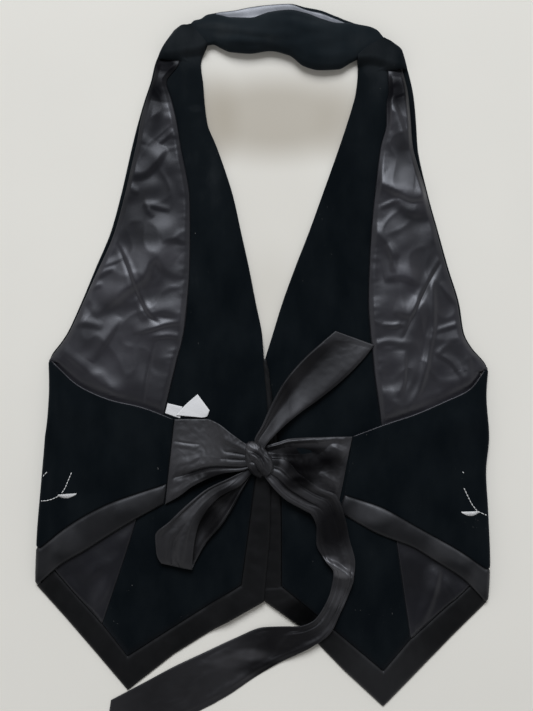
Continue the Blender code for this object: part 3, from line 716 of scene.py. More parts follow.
TIE_PAINTED_LIGHT = (
    (-0.066, -0.076, 0.044, 0.036, 0.3),
    (-0.052, -0.102, 0.036, 0.007, -0.4),
    (0.042, -0.088, 0.044, 0.024, -0.48),
    (0.076, -0.092, 0.022, 0.013, -0.2),
    (0.046, -0.072, 0.05, 0.006, 0.26),
    (0.086, -0.08, 0.012, 0.016, 0.26),
    (0.064, -0.112, 0.02, 0.008, 0.2),
    (0.018, -0.03, 0.02, 0.046, -0.24),
    (0.05, 0.014, 0.026, 0.026, -0.08),
    (0.056, -0.004, 0.06, 0.056, -0.26),
    (-0.034, -0.122, 0.018, 0.018, -0.34),
    (-0.052, -0.148, 0.018, 0.024, -0.36),
    (-0.078, -0.13, 0.024, 0.024, 0.12),
    (0.016, -0.09, 0.012, 0.014, 0.4),
    (0.036, -0.11, 0.024, 0.01, -0.42),
    (0.07, -0.156, 0.03, 0.04, -0.44),
    (0.067, -0.19, 0.014, 0.009, 0.9),
    (0.08, -0.198, 0.014, 0.009, 1.1),
    (0.076, -0.226, 0.014, 0.014, 0.3),
    (0.022, -0.266, 0.058, 0.034, -0.34),
    (0.002, -0.296, 0.036, 0.012, -0.34),
    (-0.012, -0.283, 0.024, 0.008, 0.42),
    (-0.034, -0.29, 0.024, 0.01, 0.2),
    (-0.1, -0.32, 0.07, 0.046, -0.12),
    (-0.006, -0.101, 0.016, 0.012, -0.3),
    (-0.011, -0.074, 0.01, 0.006, 0.5),
    (0.014, -0.088, 0.006, 0.01, -0.46),
)
BAND_PAINTED_LIGHT = (
    (-0.12, -0.124, 0.036, 0.02, 0.16),
    (-0.196, -0.168, 0.026, 0.018, 0.34),
    (-0.215, -0.19, 0.018, 0.02, 0.2),
    (0.11, -0.14, 0.028, 0.016, 0.65),
    (0.19, -0.176, 0.036, 0.018, 0.5),
    (0.216, -0.206, 0.016, 0.02, 0.3),
)
HEM_PAINTED_LIGHT = ((0.12, -0.3, 0.07, 0.06, 0.22), (0.04, -0.24, 0.03, 0.02, -0.2))


class Wardrobe:
    """The finishes of the vest, built once."""

    def __init__(self) -> None:
        """Builds every material."""
        self.velvet = VelvetFinish().material()
        # The neckband's velvet: a lighter, brushed copy, with a painted sheen in one patch.
        self.brushed_velvet = VelvetFinish(
            "brushed black velvet",
            deep=(0.005, 0.0084, 0.0114),
            brushed=(0.0094, 0.0132, 0.0166),
            rubbed=(0.0195, 0.0232, 0.0265),
            patches=NECK_BRUSHED_AND_PAINTED_SHEEN,
        ).material()
        self.facing_velvet = VelvetFinish("facing velvet", patches=FACING_LIGHTER).material()
        self.lining = SatinFinish(
            "black lining satin",
            colour=(0.007, 0.0072, 0.0098),
            worn=(0.013, 0.0126, 0.0168),
            roughness=0.4,
            crinkle=0.06,
            gloss=0.62,
            patches=LINING_PAINTED_LIGHT,
        ).material()
        # The neckband's satin is the lining satin painted much lighter: a painted highlight for the
        # light on its slope.
        self.neck_satin = SatinFinish(
            "pale lining satin",
            colour=(0.054, 0.06, 0.074),
            worn=(0.086, 0.094, 0.116),
            roughness=0.4,
            crinkle=0.05,
            gloss=1.0,
        ).material()
        self.tie = SatinFinish(
            "black tie satin",
            colour=(0.0046, 0.0044, 0.0053),
            worn=(0.0098, 0.0094, 0.011),
            roughness=0.5,
            crinkle=0.05,
            gloss=0.52,
            patches=TIE_PAINTED_LIGHT,
        ).material()
        # The back bands' satin is a lighter copy of the hem bands' satin, painted lighter for the
        # light on their place on top of the fold.
        self.band = SatinFinish(
            "black band satin",
            colour=(0.0018, 0.0021, 0.0027),
            worn=(0.0048, 0.005, 0.006),
            roughness=0.46,
            crinkle=0.1,
            gloss=0.34,
            patches=BAND_PAINTED_LIGHT,
        ).material()
        self.hem = SatinFinish(
            "black hem satin",
            colour=(0.0012, 0.0013, 0.0014),
            worn=(0.0036, 0.0037, 0.0041),
            roughness=0.5,
            crinkle=0.1,
            gloss=0.2,
            patches=HEM_PAINTED_LIGHT,
        ).material()
        self.white = ThreadFinish("white thread", (0.72, 0.73, 0.75)).material()
        self.tape = LabelFinish().material()
        self.button = ButtonFinish().material()


def points_of(thing: object) -> Array:
    """The points of a mesh, one row for each."""
    held = np.empty(3 * len(thing.data.vertices))
    thing.data.vertices.foreach_get("co", held)
    return held.reshape(-1, 3)


@dataclass(frozen=True)
class Piece:
    """What a piece of cloth stands for: its node, finish slot, and how it lies."""

    name: str
    node: str
    slot: str
    held: Held
    rests_on: tuple[str, ...] = ()


class Cutter:
    """Makes cloth: grids shaped by a rule, thickened and dressed."""

    @staticmethod
    def grid(name: str, across: int, down: int) -> object:
        """Adds a flat grid, one metre square, with a UV map.

        Args:
            name: The object's name.
            across: Faces along u.
            down: Faces along v.

        Returns:
            The object.
        """
        bpy.ops.object.select_all(action="DESELECT")
        bpy.ops.mesh.primitive_grid_add(
            x_subdivisions=across, y_subdivisions=down, size=1.0, calc_uvs=True
        )
        sheet = bpy.context.object
        sheet.name = name
        return sheet

    @staticmethod
    def finish_wall(sheet: object, thickness: float, weights: Array) -> None:
        """Gives a sheet its thickness, thinner towards its edges.

        Args:
            sheet: The sheet.
            thickness: The wall's full thickness.
            weights: Each point's share of it.
        """
        group = sheet.vertex_groups.new(name="wall")
        for level in np.unique(np.round(weights, 2)):
            points = np.nonzero(np.abs(weights - level) < 0.0051)[0]
            group.add(points.tolist(), float(level), "REPLACE")
        wall = sheet.modifiers.new("wall", "SOLIDIFY")
        wall.thickness = thickness
        wall.offset = 1.0
        wall.vertex_group = "wall"
        bpy.context.view_layer.objects.active = sheet
        sheet.select_set(True)
        bpy.ops.object.modifier_apply(modifier="wall")
        sheet.vertex_groups.clear()
        bpy.ops.object.shade_smooth()

    @classmethod
    def sheet(
        cls,
        piece: Piece,
        size: tuple[int, int],
        place: Place,
        thickness: float,
        finish: object,
        soft_edge: float = 0.0016,
    ) -> None:
        """Makes one piece of cloth.

        Args:
            piece: What it stands for.
            size: Faces across and down.
            place: Gives the points of its underside from u and v.
            thickness: Its thickness.
            finish: Its material.
            soft_edge: How far in from its edges the cloth reaches its full thickness.
        """
        across, down = size
        sheet = cls.grid(piece.name, across, down)
        flat = points_of(sheet)
        u, v = flat[:, 0] + 0.5, flat[:, 1] + 0.5
        points = place(u, v)
        sheet.data.vertices.foreach_set("co", points.ravel())
        order = np.lexsort((u, v))
        net = points[order].reshape(down + 1, across + 1, 3)
        widths = np.linalg.norm(np.diff(net, axis=1), axis=2).sum(axis=1)
        lengths = np.linalg.norm(np.diff(net, axis=0), axis=2).sum(axis=0)
        width, length = float(widths.max()), float(lengths.max())
        cls.measure_uv(sheet, width, length)
        row_width = np.interp(v, np.linspace(0, 1, down + 1), widths)
        column_length = np.interp(u, np.linspace(0, 1, across + 1), lengths)
        edge = np.minimum(
            np.minimum(u, 1 - u) * row_width, np.minimum(v, 1 - v) * column_length
        )
        weights = THIN_EDGE + (1.0 - THIN_EDGE) * np.sqrt(np.clip(edge / soft_edge, 0.0, 1.0))
        cls.finish_wall(sheet, thickness, weights)
        cls.dress(sheet, piece.slot, finish)
        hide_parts(piece.node)
        cell = np.cross(net[1:, 1:] - net[:-1, :-1], net[1:, :-1] - net[:-1, 1:])
        area = float(0.5 * np.linalg.norm(cell, axis=2).sum())
        area = min(area, 0.995 * width * length)
        log.info("%s: %.0f x %.0f mm, %.4f m2", piece.name, 1e3 * width, 1e3 * length, area)

    @staticmethod
    def measure_uv(sheet: object, width: float, length: float) -> None:
        """Scales the UV map to metres.

        Args:
            sheet: The sheet.
            width: Its width.
            length: Its length.
        """
        layer = sheet.data.uv_layers.active.data
        held = np.empty(2 * len(layer))
        layer.foreach_get("uv", held)
        held = held.reshape(-1, 2) * np.array([width, length])
        layer.foreach_set("uv", held.ravel())

    @staticmethod
    def dress(thing: object, slot: str, finish: object) -> None:
        """Gives a piece its material and lets it ride.

        Args:
            thing: The piece.
            slot: The record's slot; not used.
            finish: The material.
        """
        thing.data.materials.clear()
        thing.data.materials.append(finish)
        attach(thing, "root")


def upward(side: Wearer, place: Place) -> Place:
    """Turns u round where the side would make a sheet face down.

    Args:
        side: The wearer's side.
        place: The rule.

    Returns:
        The rule to use.
    """
    if side is Wearer.LEFT:
        return place
    return lambda u, v: place(1.0 - u, v)


def stacked(x: Array, y: Array, z: Array) -> Array:
    """Joins coordinates to points, one row for each."""
    return np.stack(np.broadcast_arrays(x, y, z), axis=-1)


@dataclass(frozen=True)
class Station:
    """A row across one front: side edge, edge of the lining, middle of the facing, front edge."""

    side: Pair
    lining: Pair
    middle: Pair
    front: Pair


@dataclass(frozen=True)
class BandPoint:
    """A place along the hem band: the front's column and row there, and the band's outer edge."""

    column: float
    row: float
    outer: Pair


@dataclass(frozen=True)
class Row:
    """A row across a ribbon: its two edges, its height, its wave and its tilt."""

    left: Pair
    right: Pair
    z: float
    wave: float = 0.0
    tilt: float = 0.0


@dataclass(frozen=True)
class Fold:
    """A soft fold from one point to another, with its half width and its height."""

    start: Pair
    end: Pair
    width: float
    height: float

    def relief(self, x: Array, y: Array) -> Array:
        """The height that the fold adds.

        Args:
            x: Places along X.
            y: Places along Y.

        Returns:
            The height at each place.
        """
        dx, dy = self.end[0] - self.start[0], self.end[1] - self.start[1]
        rel_x, rel_y = x - self.start[0], y - self.start[1]
        share = np.clip((rel_x * dx + rel_y * dy) / (dx * dx + dy * dy), 0.0, 1.0)
        away = np.hypot(rel_x - share * dx, rel_y - share * dy) / self.width
        return self.height * np.exp(-away * away)


FOLD_HEIGHT = 0.009
FOLD_RADIUS = FOLD_HEIGHT / 2
FRONT_START = FOLD_RADIUS + 0.0026
BACK_START = FOLD_RADIUS + 0.0011
BACK_Z = 0.005
BACK_SETTLE = 0.03
UNDER_LIFT = 0.0025
OVER_LIFT = UNDER_LIFT + BAND + SEAM
LIFT_RAMP = 0.028
UNDER_FULL_X = 0.024
OVER_FULL_X = -0.03
OVER_NONE_X = 0.04
OVER_RAMP = 0.03
LIFT_FULL_Y = 0.013
LIFT_NONE_Y = 0.05
ARMHOLE_RIM = 0.0022
UNDERARM = 11
LINING_TOP = 0.88
HEM = 16

LEFT_STATIONS = rows_of(
    Station,
    ((-0.088, 0.338), (-0.08, 0.3425), (-0.07, 0.344), (-0.0545, 0.325)),
    ((-0.106, 0.309), (-0.0815, 0.31), (-0.071, 0.308), (-0.061, 0.306)),
    ((-0.111, 0.289), (-0.095, 0.288), (-0.076, 0.287), (-0.0588, 0.287)),
    ((-0.117, 0.271), (-0.0905, 0.272), (-0.074, 0.27), (-0.0575, 0.27)),
    ((-0.124, 0.247), (-0.0845, 0.246), (-0.069, 0.246), (-0.0545, 0.247)),
    ((-0.13, 0.223), (-0.0805, 0.221), (-0.061, 0.222), (-0.045, 0.223)),
    ((-0.141, 0.175), (-0.072, 0.172), (-0.051, 0.173), (-0.029, 0.175)),
    ((-0.151, 0.139), (-0.0715, 0.137), (-0.046, 0.138), (-0.021, 0.139)),
    ((-0.166, 0.103), (-0.072, 0.103), (-0.044, 0.103), (-0.013, 0.103)),
    ((-0.181, 0.067), (-0.0745, 0.067), (-0.043, 0.067), (-0.006, 0.067)),
    ((-0.195, 0.037), (-0.078, 0.037), (-0.044, 0.037), (0.0, 0.037)),
    ((-0.211, 0.0135), (-0.084, 0.013), (-0.048, 0.013), (0.002, 0.012)),
    ((-0.211, 0.0085), (-0.0852, 0.008), (-0.0489, 0.008), (0.0024, 0.007)),
    ((-0.207, -0.041), (-0.097, -0.041), (-0.059, -0.043), (0.0055, -0.042)),
    ((-0.213, -0.099), (-0.112, -0.1), (-0.077, -0.106), (-0.006, -0.1)),
    ((-0.218, -0.155), (-0.128, -0.158), (-0.101, -0.175), (-0.014, -0.16)),
    ((-0.219, -0.186), (-0.159, -0.252), (-0.134, -0.284), (-0.021, -0.212)),
)
RIGHT_STATIONS = rows_of(
    Station,
    ((0.139, 0.3195), (0.121, 0.3305), (0.107, 0.3235), (0.095, 0.313)),
    ((0.146, 0.299), (0.125, 0.3), (0.111, 0.299), (0.0957, 0.298)),
    ((0.151, 0.277), (0.1262, 0.278), (0.109, 0.278), (0.0935, 0.277)),
    ((0.1525, 0.265), (0.124, 0.265), (0.1065, 0.265), (0.0905, 0.265)),
    ((0.154, 0.247), (0.124, 0.247), (0.102, 0.247), (0.085, 0.247)),
    ((0.1555, 0.223), (0.118, 0.221), (0.097, 0.222), (0.077, 0.223)),
    ((0.166, 0.175), (0.112, 0.171), (0.086, 0.173), (0.06, 0.175)),
    ((0.176, 0.139), (0.109, 0.139), (0.078, 0.139), (0.047, 0.139)),
    ((0.186, 0.103), (0.107, 0.103), (0.071, 0.103), (0.033, 0.103)),
    ((0.197, 0.067), (0.106, 0.067), (0.066, 0.067), (0.02, 0.067)),
    ((0.202, 0.037), (0.108, 0.037), (0.064, 0.037), (0.0108, 0.037)),
    ((0.222, 0.0055), (0.111, 0.007), (0.064, 0.008), (0.0026, 0.009)),
    ((0.222, 0.0005), (0.1114, 0.002), (0.0645, 0.003), (0.0034, 0.004)),
    ((0.219, -0.054), (0.119, -0.054), (0.076, -0.057), (0.0145, -0.054)),
    ((0.218, -0.109), (0.126, -0.109), (0.088, -0.119), (0.019, -0.109)),
    ((0.22, -0.169), (0.134, -0.171), (0.105, -0.197), (0.02, -0.169)),
    ((0.22, -0.203), (0.148, -0.267), (0.121, -0.299), (0.02, -0.214)),
)
LEFT_SIDE_FOLD = (
    (0.014, -0.213),
    (-0.017, -0.212),
    (-0.046, -0.2135),
    (-0.065, -0.216),
    (-0.113, -0.22),
    (-0.161, -0.224),
    (-0.222, -0.2265),
)
RIGHT_SIDE_FOLD = (
    (0.008, 0.2262),
    (-0.026, 0.2235),
    (-0.065, 0.226),
    (-0.1, 0.223),
    (-0.137, 0.225),
    (-0.19, 0.227),
    (-0.236, 0.225),
)
LEFT_BAND = rows_of(
    BandPoint,
    (0.0, HEM, (-0.2248, -0.214)),
    (0.5, HEM, (-0.196, -0.246)),
    (1.0, HEM, (-0.168, -0.2785)),
    (2.0, HEM, (-0.134, -0.3185)),
    (2.3, HEM, (-0.088, -0.2825)),
    (2.65, HEM, (-0.047, -0.257)),
    (3.0, HEM, (0.002, -0.229)),
    (3.0, HEM - 1, (0.008, -0.165)),
    (3.0, HEM - 2, (0.0095, -0.105)),
    (3.0, HEM - 3, (0.012, -0.048)),
    (3.0, UNDERARM, (0.0036, 0.012)),
)
RIGHT_BAND = rows_of(
    BandPoint,
    (0.0, HEM, (0.224, -0.2305)),
    (0.5, HEM, (0.19, -0.264)),
    (1.0, HEM, (0.158, -0.297)),
    (2.0, HEM, (0.121, -0.335)),
    (2.4, HEM, (0.082, -0.299)),
    (2.75, HEM, (0.04, -0.256)),
    (3.0, HEM, (-0.019, -0.214)),
    (3.0, HEM - 1, (-0.019, -0.169)),
    (3.0, HEM - 2, (-0.019, -0.109)),
    (3.0, HEM - 3, (-0.017, -0.056)),
    (3.0, HEM - 3.5, (-0.008, -0.02)),
    (3.0, UNDERARM, (-0.002, 0.004)),
)
LEFT_BACK = (
    ((-0.213, 0.0105), (-0.223, -0.175), (-0.226, -0.212)),
    ((-0.2, 0.0), (-0.202, -0.16), (-0.202, -0.193)),
    ((-0.18, -0.016), (-0.177, -0.144), (-0.177, -0.179)),
    ((-0.15, -0.029), (-0.152, -0.1315), (-0.152, -0.163)),
    ((-0.12, -0.036), (-0.127, -0.1225), (-0.127, -0.148)),
    ((-0.088, -0.048), (-0.0945, -0.112), (-0.0972, -0.132)),
)
RIGHT_BACK = (
    ((0.2262, 0.002), (0.226, -0.196), (0.225, -0.229)),
    ((0.208, -0.018), (0.203, -0.182), (0.203, -0.208)),
    ((0.183, -0.03), (0.178, -0.168), (0.178, -0.192)),
    ((0.153, -0.043), (0.15, -0.1525), (0.15, -0.175)),
    ((0.123, -0.053), (0.118, -0.135), (0.118, -0.163)),
    ((0.0905, -0.065), (0.0822, -0.123), (0.0756, -0.14)),
)
LEFT_LINING_FOLDS = rows_of(
    Fold,
    ((-0.132, 0.104), (-0.098, 0.142), 0.013, 0.003),
    ((-0.128, 0.176), (-0.084, 0.186), 0.011, 0.0022),
    ((-0.15, 0.072), (-0.112, 0.098), 0.009, 0.002),
    ((-0.12, 0.226), (-0.09, 0.206), 0.01, 0.0022),
    ((-0.168, 0.056), (-0.184, 0.028), 0.01, 0.0022),
    ((-0.112, 0.06), (-0.1, 0.014), 0.009, 0.0018),
)
RIGHT_LINING_FOLDS = rows_of(
    Fold,
    ((0.118, 0.186), (0.158, 0.176), 0.01, 0.003),
    ((0.136, 0.118), (0.152, 0.092), 0.011, 0.0024),
    ((0.18, 0.106), (0.146, 0.028), 0.009, 0.0026),
    ((0.174, 0.03), (0.188, -0.014), 0.009, 0.0022),
    ((0.12, 0.066), (0.13, 0.02), 0.01, 0.0018),
    ((0.138, 0.232), (0.13, 0.256), 0.01, 0.0016),
)
LEFT_BACK_FOLDS = rows_of(
    Fold,
    ((-0.206, -0.03), (-0.168, -0.044), 0.012, 0.0016),
    ((-0.206, -0.112), (-0.15, -0.096), 0.016, 0.0018),
    ((-0.116, -0.052), (-0.104, -0.112), 0.009, 0.0014),
)
RIGHT_BACK_FOLDS = rows_of(
    Fold,
    ((0.216, -0.05), (0.166, -0.062), 0.013, 0.0016),
    ((0.214, -0.15), (0.14, -0.11), 0.016, 0.002),
    ((0.112, -0.07), (0.104, -0.114), 0.009, 0.0012),
)
LEFT_LINING_CREASES = rows_of(
    Crease,
    (((-0.137, 0.196), (-0.121, 0.196), (-0.106, 0.208), (-0.096, 0.222)), 0.0026, 0.016, 0.004),
    (
        ((-0.168, 0.056), (-0.144, 0.074), (-0.132, 0.084), (-0.118, 0.094),
         (-0.113, 0.108), (-0.104, 0.113), (-0.094, 0.101), (-0.078, 0.094)),
        0.0028, 0.015, 0.005,
    ),
    (((-0.1, 0.129), (-0.088, 0.132), (-0.074, 0.128)), 0.0013, 0.011, 0.003),
    (((-0.122, 0.054), (-0.1, 0.06), (-0.076, 0.053)), 0.0017, 0.012, 0.004),
    (
        ((-0.145, 0.128), (-0.134, 0.103), (-0.124, 0.075), (-0.112, 0.054), (-0.1, 0.046)),
        -0.0012, 0.0016, 0.0016,
    ),
    (
        ((-0.143, 0.128), (-0.131, 0.103), (-0.121, 0.076), (-0.109, 0.055), (-0.099, 0.048)),
        0.001, 0.003, 0.0018,
    ),
    (((-0.128, 0.038), (-0.112, 0.041), (-0.097, 0.046), (-0.075, 0.049)), 0.0014, 0.005, 0.0016),
    (((-0.112, 0.033), (-0.092, 0.035), (-0.079, 0.031)), 0.0011, 0.004, 0.0016),
    (((-0.106, 0.031), (-0.113, 0.001), (-0.119, -0.034)), -0.001, 0.0014, 0.0014),
    (((-0.141, 0.053), (-0.154, 0.033), (-0.17, 0.009)), 0.0014, 0.003, 0.007),
    (((-0.204, 0.026), (-0.177, 0.004), (-0.157, -0.014), (-0.133, -0.028)), 0.0018, 0.009, 0.004),
    (((-0.162, 0.103), (-0.146, 0.109), (-0.137, 0.113)), 0.001, 0.004, 0.002),
    (((-0.168, 0.093), (-0.156, 0.098), (-0.146, 0.103)), 0.0009, 0.004, 0.002),
    (((-0.176, 0.08), (-0.166, 0.084), (-0.158, 0.086)), 0.0008, 0.003, 0.002),
    (((-0.089, 0.268), (-0.084, 0.242), (-0.08, 0.228)), 0.0014, 0.002, 0.01),
    (((-0.117, 0.168), (-0.112, 0.16), (-0.108, 0.153)), 0.0008, 0.002, 0.003),
    (((-0.118, 0.167), (-0.104, 0.163), (-0.091, 0.16)), 0.001, 0.004, 0.0018),
    (((-0.134, 0.187), (-0.128, 0.18), (-0.122, 0.177)), 0.0008, 0.003, 0.002),
    (((-0.104, 0.226), (-0.096, 0.232), (-0.088, 0.24)), 0.0008, 0.003, 0.002),
    (((-0.192, 0.046), (-0.176, 0.048), (-0.158, 0.044)), 0.001, 0.005, 0.003),
    (((-0.106, 0.268), (-0.11, 0.246), (-0.118, 0.226)), 0.0016, 0.008, 0.005),
    (((-0.18, -0.212), (-0.16, -0.196), (-0.14, -0.184)), 0.0016, 0.008, 0.004),
    (((-0.168, -0.238), (-0.156, -0.216), (-0.15, -0.19)), 0.0018, 0.007, 0.004),
    (((-0.196, -0.206), (-0.186, -0.222), (-0.176, -0.236)), 0.0012, 0.006, 0.004),
)
RIGHT_LINING_CREASES = rows_of(
    Crease,
    (
        ((0.117, 0.188), (0.128, 0.18), (0.138, 0.176), (0.15, 0.171), (0.164, 0.174)),
        0.0026, 0.015, 0.0022,
    ),
    (((0.134, 0.17), (0.148, 0.159), (0.169, 0.156)), 0.0021, 0.009, 0.005),
    (((0.118, 0.163), (0.126, 0.166), (0.136, 0.17)), 0.0011, 0.0022, 0.0018),
    (((0.143, 0.221), (0.136, 0.246), (0.126, 0.271)), 0.0018, 0.006, 0.004),
    (((0.15, 0.222), (0.147, 0.246), (0.139, 0.272)), 0.0012, 0.005, 0.003),
    (((0.121, 0.092), (0.138, 0.095), (0.16, 0.086)), 0.002, 0.013, 0.004),
    (((0.131, 0.06), (0.146, 0.056), (0.158, 0.07)), 0.0017, 0.012, 0.003),
    (((0.18, 0.112), (0.168, 0.091), (0.154, 0.063), (0.14, 0.031)), -0.0014, 0.0018, 0.0018),
    (((0.177, 0.112), (0.165, 0.092), (0.151, 0.064), (0.138, 0.033)), 0.0011, 0.0022, 0.004),
    (
        ((0.169, 0.094), (0.17, 0.051), (0.166, 0.021), (0.158, -0.014), (0.143, -0.041)),
        0.0019, 0.0028, 0.0034,
    ),
    (((0.168, 0.038), (0.183, 0.043), (0.2, 0.048)), 0.001, 0.003, 0.002),
    (((0.173, 0.018), (0.188, 0.009), (0.202, -0.01)), 0.0013, 0.004, 0.002),
    (((0.173, 0.016), (0.18, 0.022), (0.188, 0.028)), 0.0009, 0.003, 0.002),
    (((0.177, 0.088), (0.188, 0.073), (0.199, 0.064)), 0.0011, 0.003, 0.002),
    (((0.115, -0.022), (0.133, -0.024), (0.141, -0.009), (0.142, 0.02)), 0.0019, 0.01, 0.0018),
    (((0.112, 0.026), (0.126, 0.029), (0.142, 0.027)), 0.0012, 0.004, 0.002),
    (((0.118, -0.026), (0.132, -0.032), (0.142, -0.042)), 0.0012, 0.004, 0.002),
    (((0.175, -0.02), (0.182, -0.036), (0.19, -0.052)), 0.001, 0.003, 0.003),
    (((0.196, 0.03), (0.205, 0.006), (0.206, -0.016)), 0.0016, 0.004, 0.006),
    (((0.124, 0.126), (0.13, 0.112), (0.13, 0.098)), 0.001, 0.004, 0.002),
    (((0.112, 0.14), (0.124, 0.128), (0.134, 0.112)), 0.001, 0.004, 0.003),
    (((0.12, 0.046), (0.132, 0.045), (0.142, 0.046)), 0.0011, 0.003, 0.0016),
    (((0.178, -0.19), (0.17, -0.222), (0.156, -0.256)), 0.0032, 0.0035, 0.008),
    (((0.18, -0.206), (0.19, -0.222), (0.196, -0.236)), 0.0014, 0.005, 0.004),
)
LEFT_VELVET_CREASES = rows_of(
    Crease,
    (((-0.19, -0.02), (-0.172, -0.07), (-0.176, -0.12)), 0.0009, 0.012, 0.008),
    (((-0.14, -0.042), (-0.128, -0.08), (-0.132, -0.118)), 0.0008, 0.01, 0.008),
    (((-0.21, -0.15), (-0.18, -0.132), (-0.15, -0.124)), 0.0008, 0.008, 0.006),
)
RIGHT_VELVET_CREASES = rows_of(
    Crease,
    (((0.196, -0.04), (0.186, -0.086), (0.19, -0.14)), 0.0009, 0.01, 0.01),
    (((0.146, -0.058), (0.132, -0.09), (0.138, -0.132)), 0.0008, 0.01, 0.008),
    (((0.21, -0.172), (0.184, -0.156), (0.15, -0.142)), 0.0009, 0.008, 0.006),
)


def lift_fade(y: Array) -> Array:
    """How fully the fronts are lifted over the buttons, from 0 above them to 1."""
    return smoothstep((LIFT_NONE_Y - y) / (LIFT_NONE_Y - LIFT_FULL_Y))


def over_lift(x: Array, y: Array) -> Array:
    """How far the left front stands off the surface, where it lies over the right."""
    return OVER_LIFT * lift_fade(y) * smoothstep((x - OVER_FULL_X) / LIFT_RAMP + 1.0)


def under_lift(x: Array, y: Array) -> Array:
    """How far the right front stands off the surface, where it lies over the buttons."""
    return UNDER_LIFT * lift_fade(y) * smoothstep((UNDER_FULL_X - x) / LIFT_RAMP + 1.0)


@dataclass(frozen=True)
class NeckCut:
    """A cut through the neckband: its edges, its floor and how full it is."""

    x: float
    top: float
    leaf: float
    neck: float
    floor: float
    puff: float


NECK_CUTS = rows_of(
    NeckCut,
    (-0.096, 0.3235, 0.323, 0.316, 0.0021, 0.002),
    (-0.087, 0.3325, 0.332, 0.317, 0.0021, 0.004),
    (-0.079, 0.3405, 0.34, 0.319, 0.0021, 0.006),
    (-0.072, 0.345, 0.344, 0.32, 0.0021, 0.007),
    (-0.067, 0.3495, 0.348, 0.3205, 0.0021, 0.008),
    (-0.062, 0.3505, 0.349, 0.3215, 0.0021, 0.009),
    (-0.055, 0.355, 0.353, 0.3238, 0.0021, 0.009),
    (-0.048, 0.357, 0.3545, 0.3252, 0.0012, 0.009),
    (-0.041, 0.359, 0.3535, 0.3222, 0.0004, 0.0092),
    (-0.032, 0.3605, 0.3518, 0.3185, 0.0, 0.0095),
    (-0.012, 0.3645, 0.3515, 0.317, 0.0, 0.01),
    (0.008, 0.367, 0.3572, 0.3195, 0.0, 0.011),
    (0.028, 0.368, 0.3595, 0.315, 0.0, 0.013),
    (0.043, 0.3645, 0.3565, 0.304, 0.0, 0.0135),
    (0.058, 0.3615, 0.351, 0.3005, 0.0, 0.013),
    (0.076, 0.3545, 0.3462, 0.3012, 0.0, 0.0115),
    (0.088, 0.349, 0.3455, 0.307, 0.001, 0.0105),
    (0.096, 0.3455, 0.344, 0.3105, 0.0021, 0.0105),
    (0.106, 0.3435, 0.3425, 0.312, 0.0021, 0.009),
    (0.114, 0.34, 0.3392, 0.311, 0.0021, 0.007),
    (0.121, 0.3315, 0.331, 0.309, 0.0021, 0.005),
    (0.129, 0.3235, 0.323, 0.306, 0.0021, 0.003),
    (0.137, 0.3165, 0.316, 0.304, 0.0021, 0.002),
)
NECK_ROLL = 0.0045
NECK_PRESSED = 0.0007
NECK_SAG = 0.0014


def neck_cut(x: Array) -> tuple[Array, ...]:
    """The neckband's sizes along it.

    Args:
        x: Places along X.

    Returns:
        Top edge, leaf edge, neck edge, floor, fullness, and how far it is from its flat ends.
    """
    names = ("top", "leaf", "neck", "floor", "puff")
    sizes = [smooth_at([(c.x, getattr(c, name)) for c in NECK_CUTS], x) for name in names]
    full = smoothstep((x - NECK_CUTS[0].x - 0.03) / 0.05)
    full = full * smoothstep((NECK_CUTS[-1].x - x - 0.024) / 0.052)
    sizes[:3] = [size - NECK_SAG * full for size in sizes[:3]]
    return (*sizes, full)


def neck_roll(puff: Array, full: Array) -> Array:
    """The radius at which the neckband rolls over, from its fullness and its flat ends."""
    return mix(NECK_PRESSED, np.minimum(NECK_ROLL, 0.5 * puff + 0.0012), full)


def over_neckband(x: Array, y: Array) -> Array:
    """A height just over the neckband, for the strap's facing that lies on it.

    Args:
        x: Places along X.
        y: Places along Y.

    Returns:
        The height.
    """
    _, leaf, neck, floor, puff, full = neck_cut(x)
    roll = neck_roll(puff, full)
    inner = neck + VELVET + roll
    part = np.clip((y - inner) / (leaf - inner), 0.0, 1.0)
    swell = np.sin(math.pi * part) * 0.35 * puff * mix(0.25, 1.0, full)
    return floor + 2.0 * VELVET + 2.0 * roll + swell + mix(0.3, 1.0, full) * 0.005 + SEAM


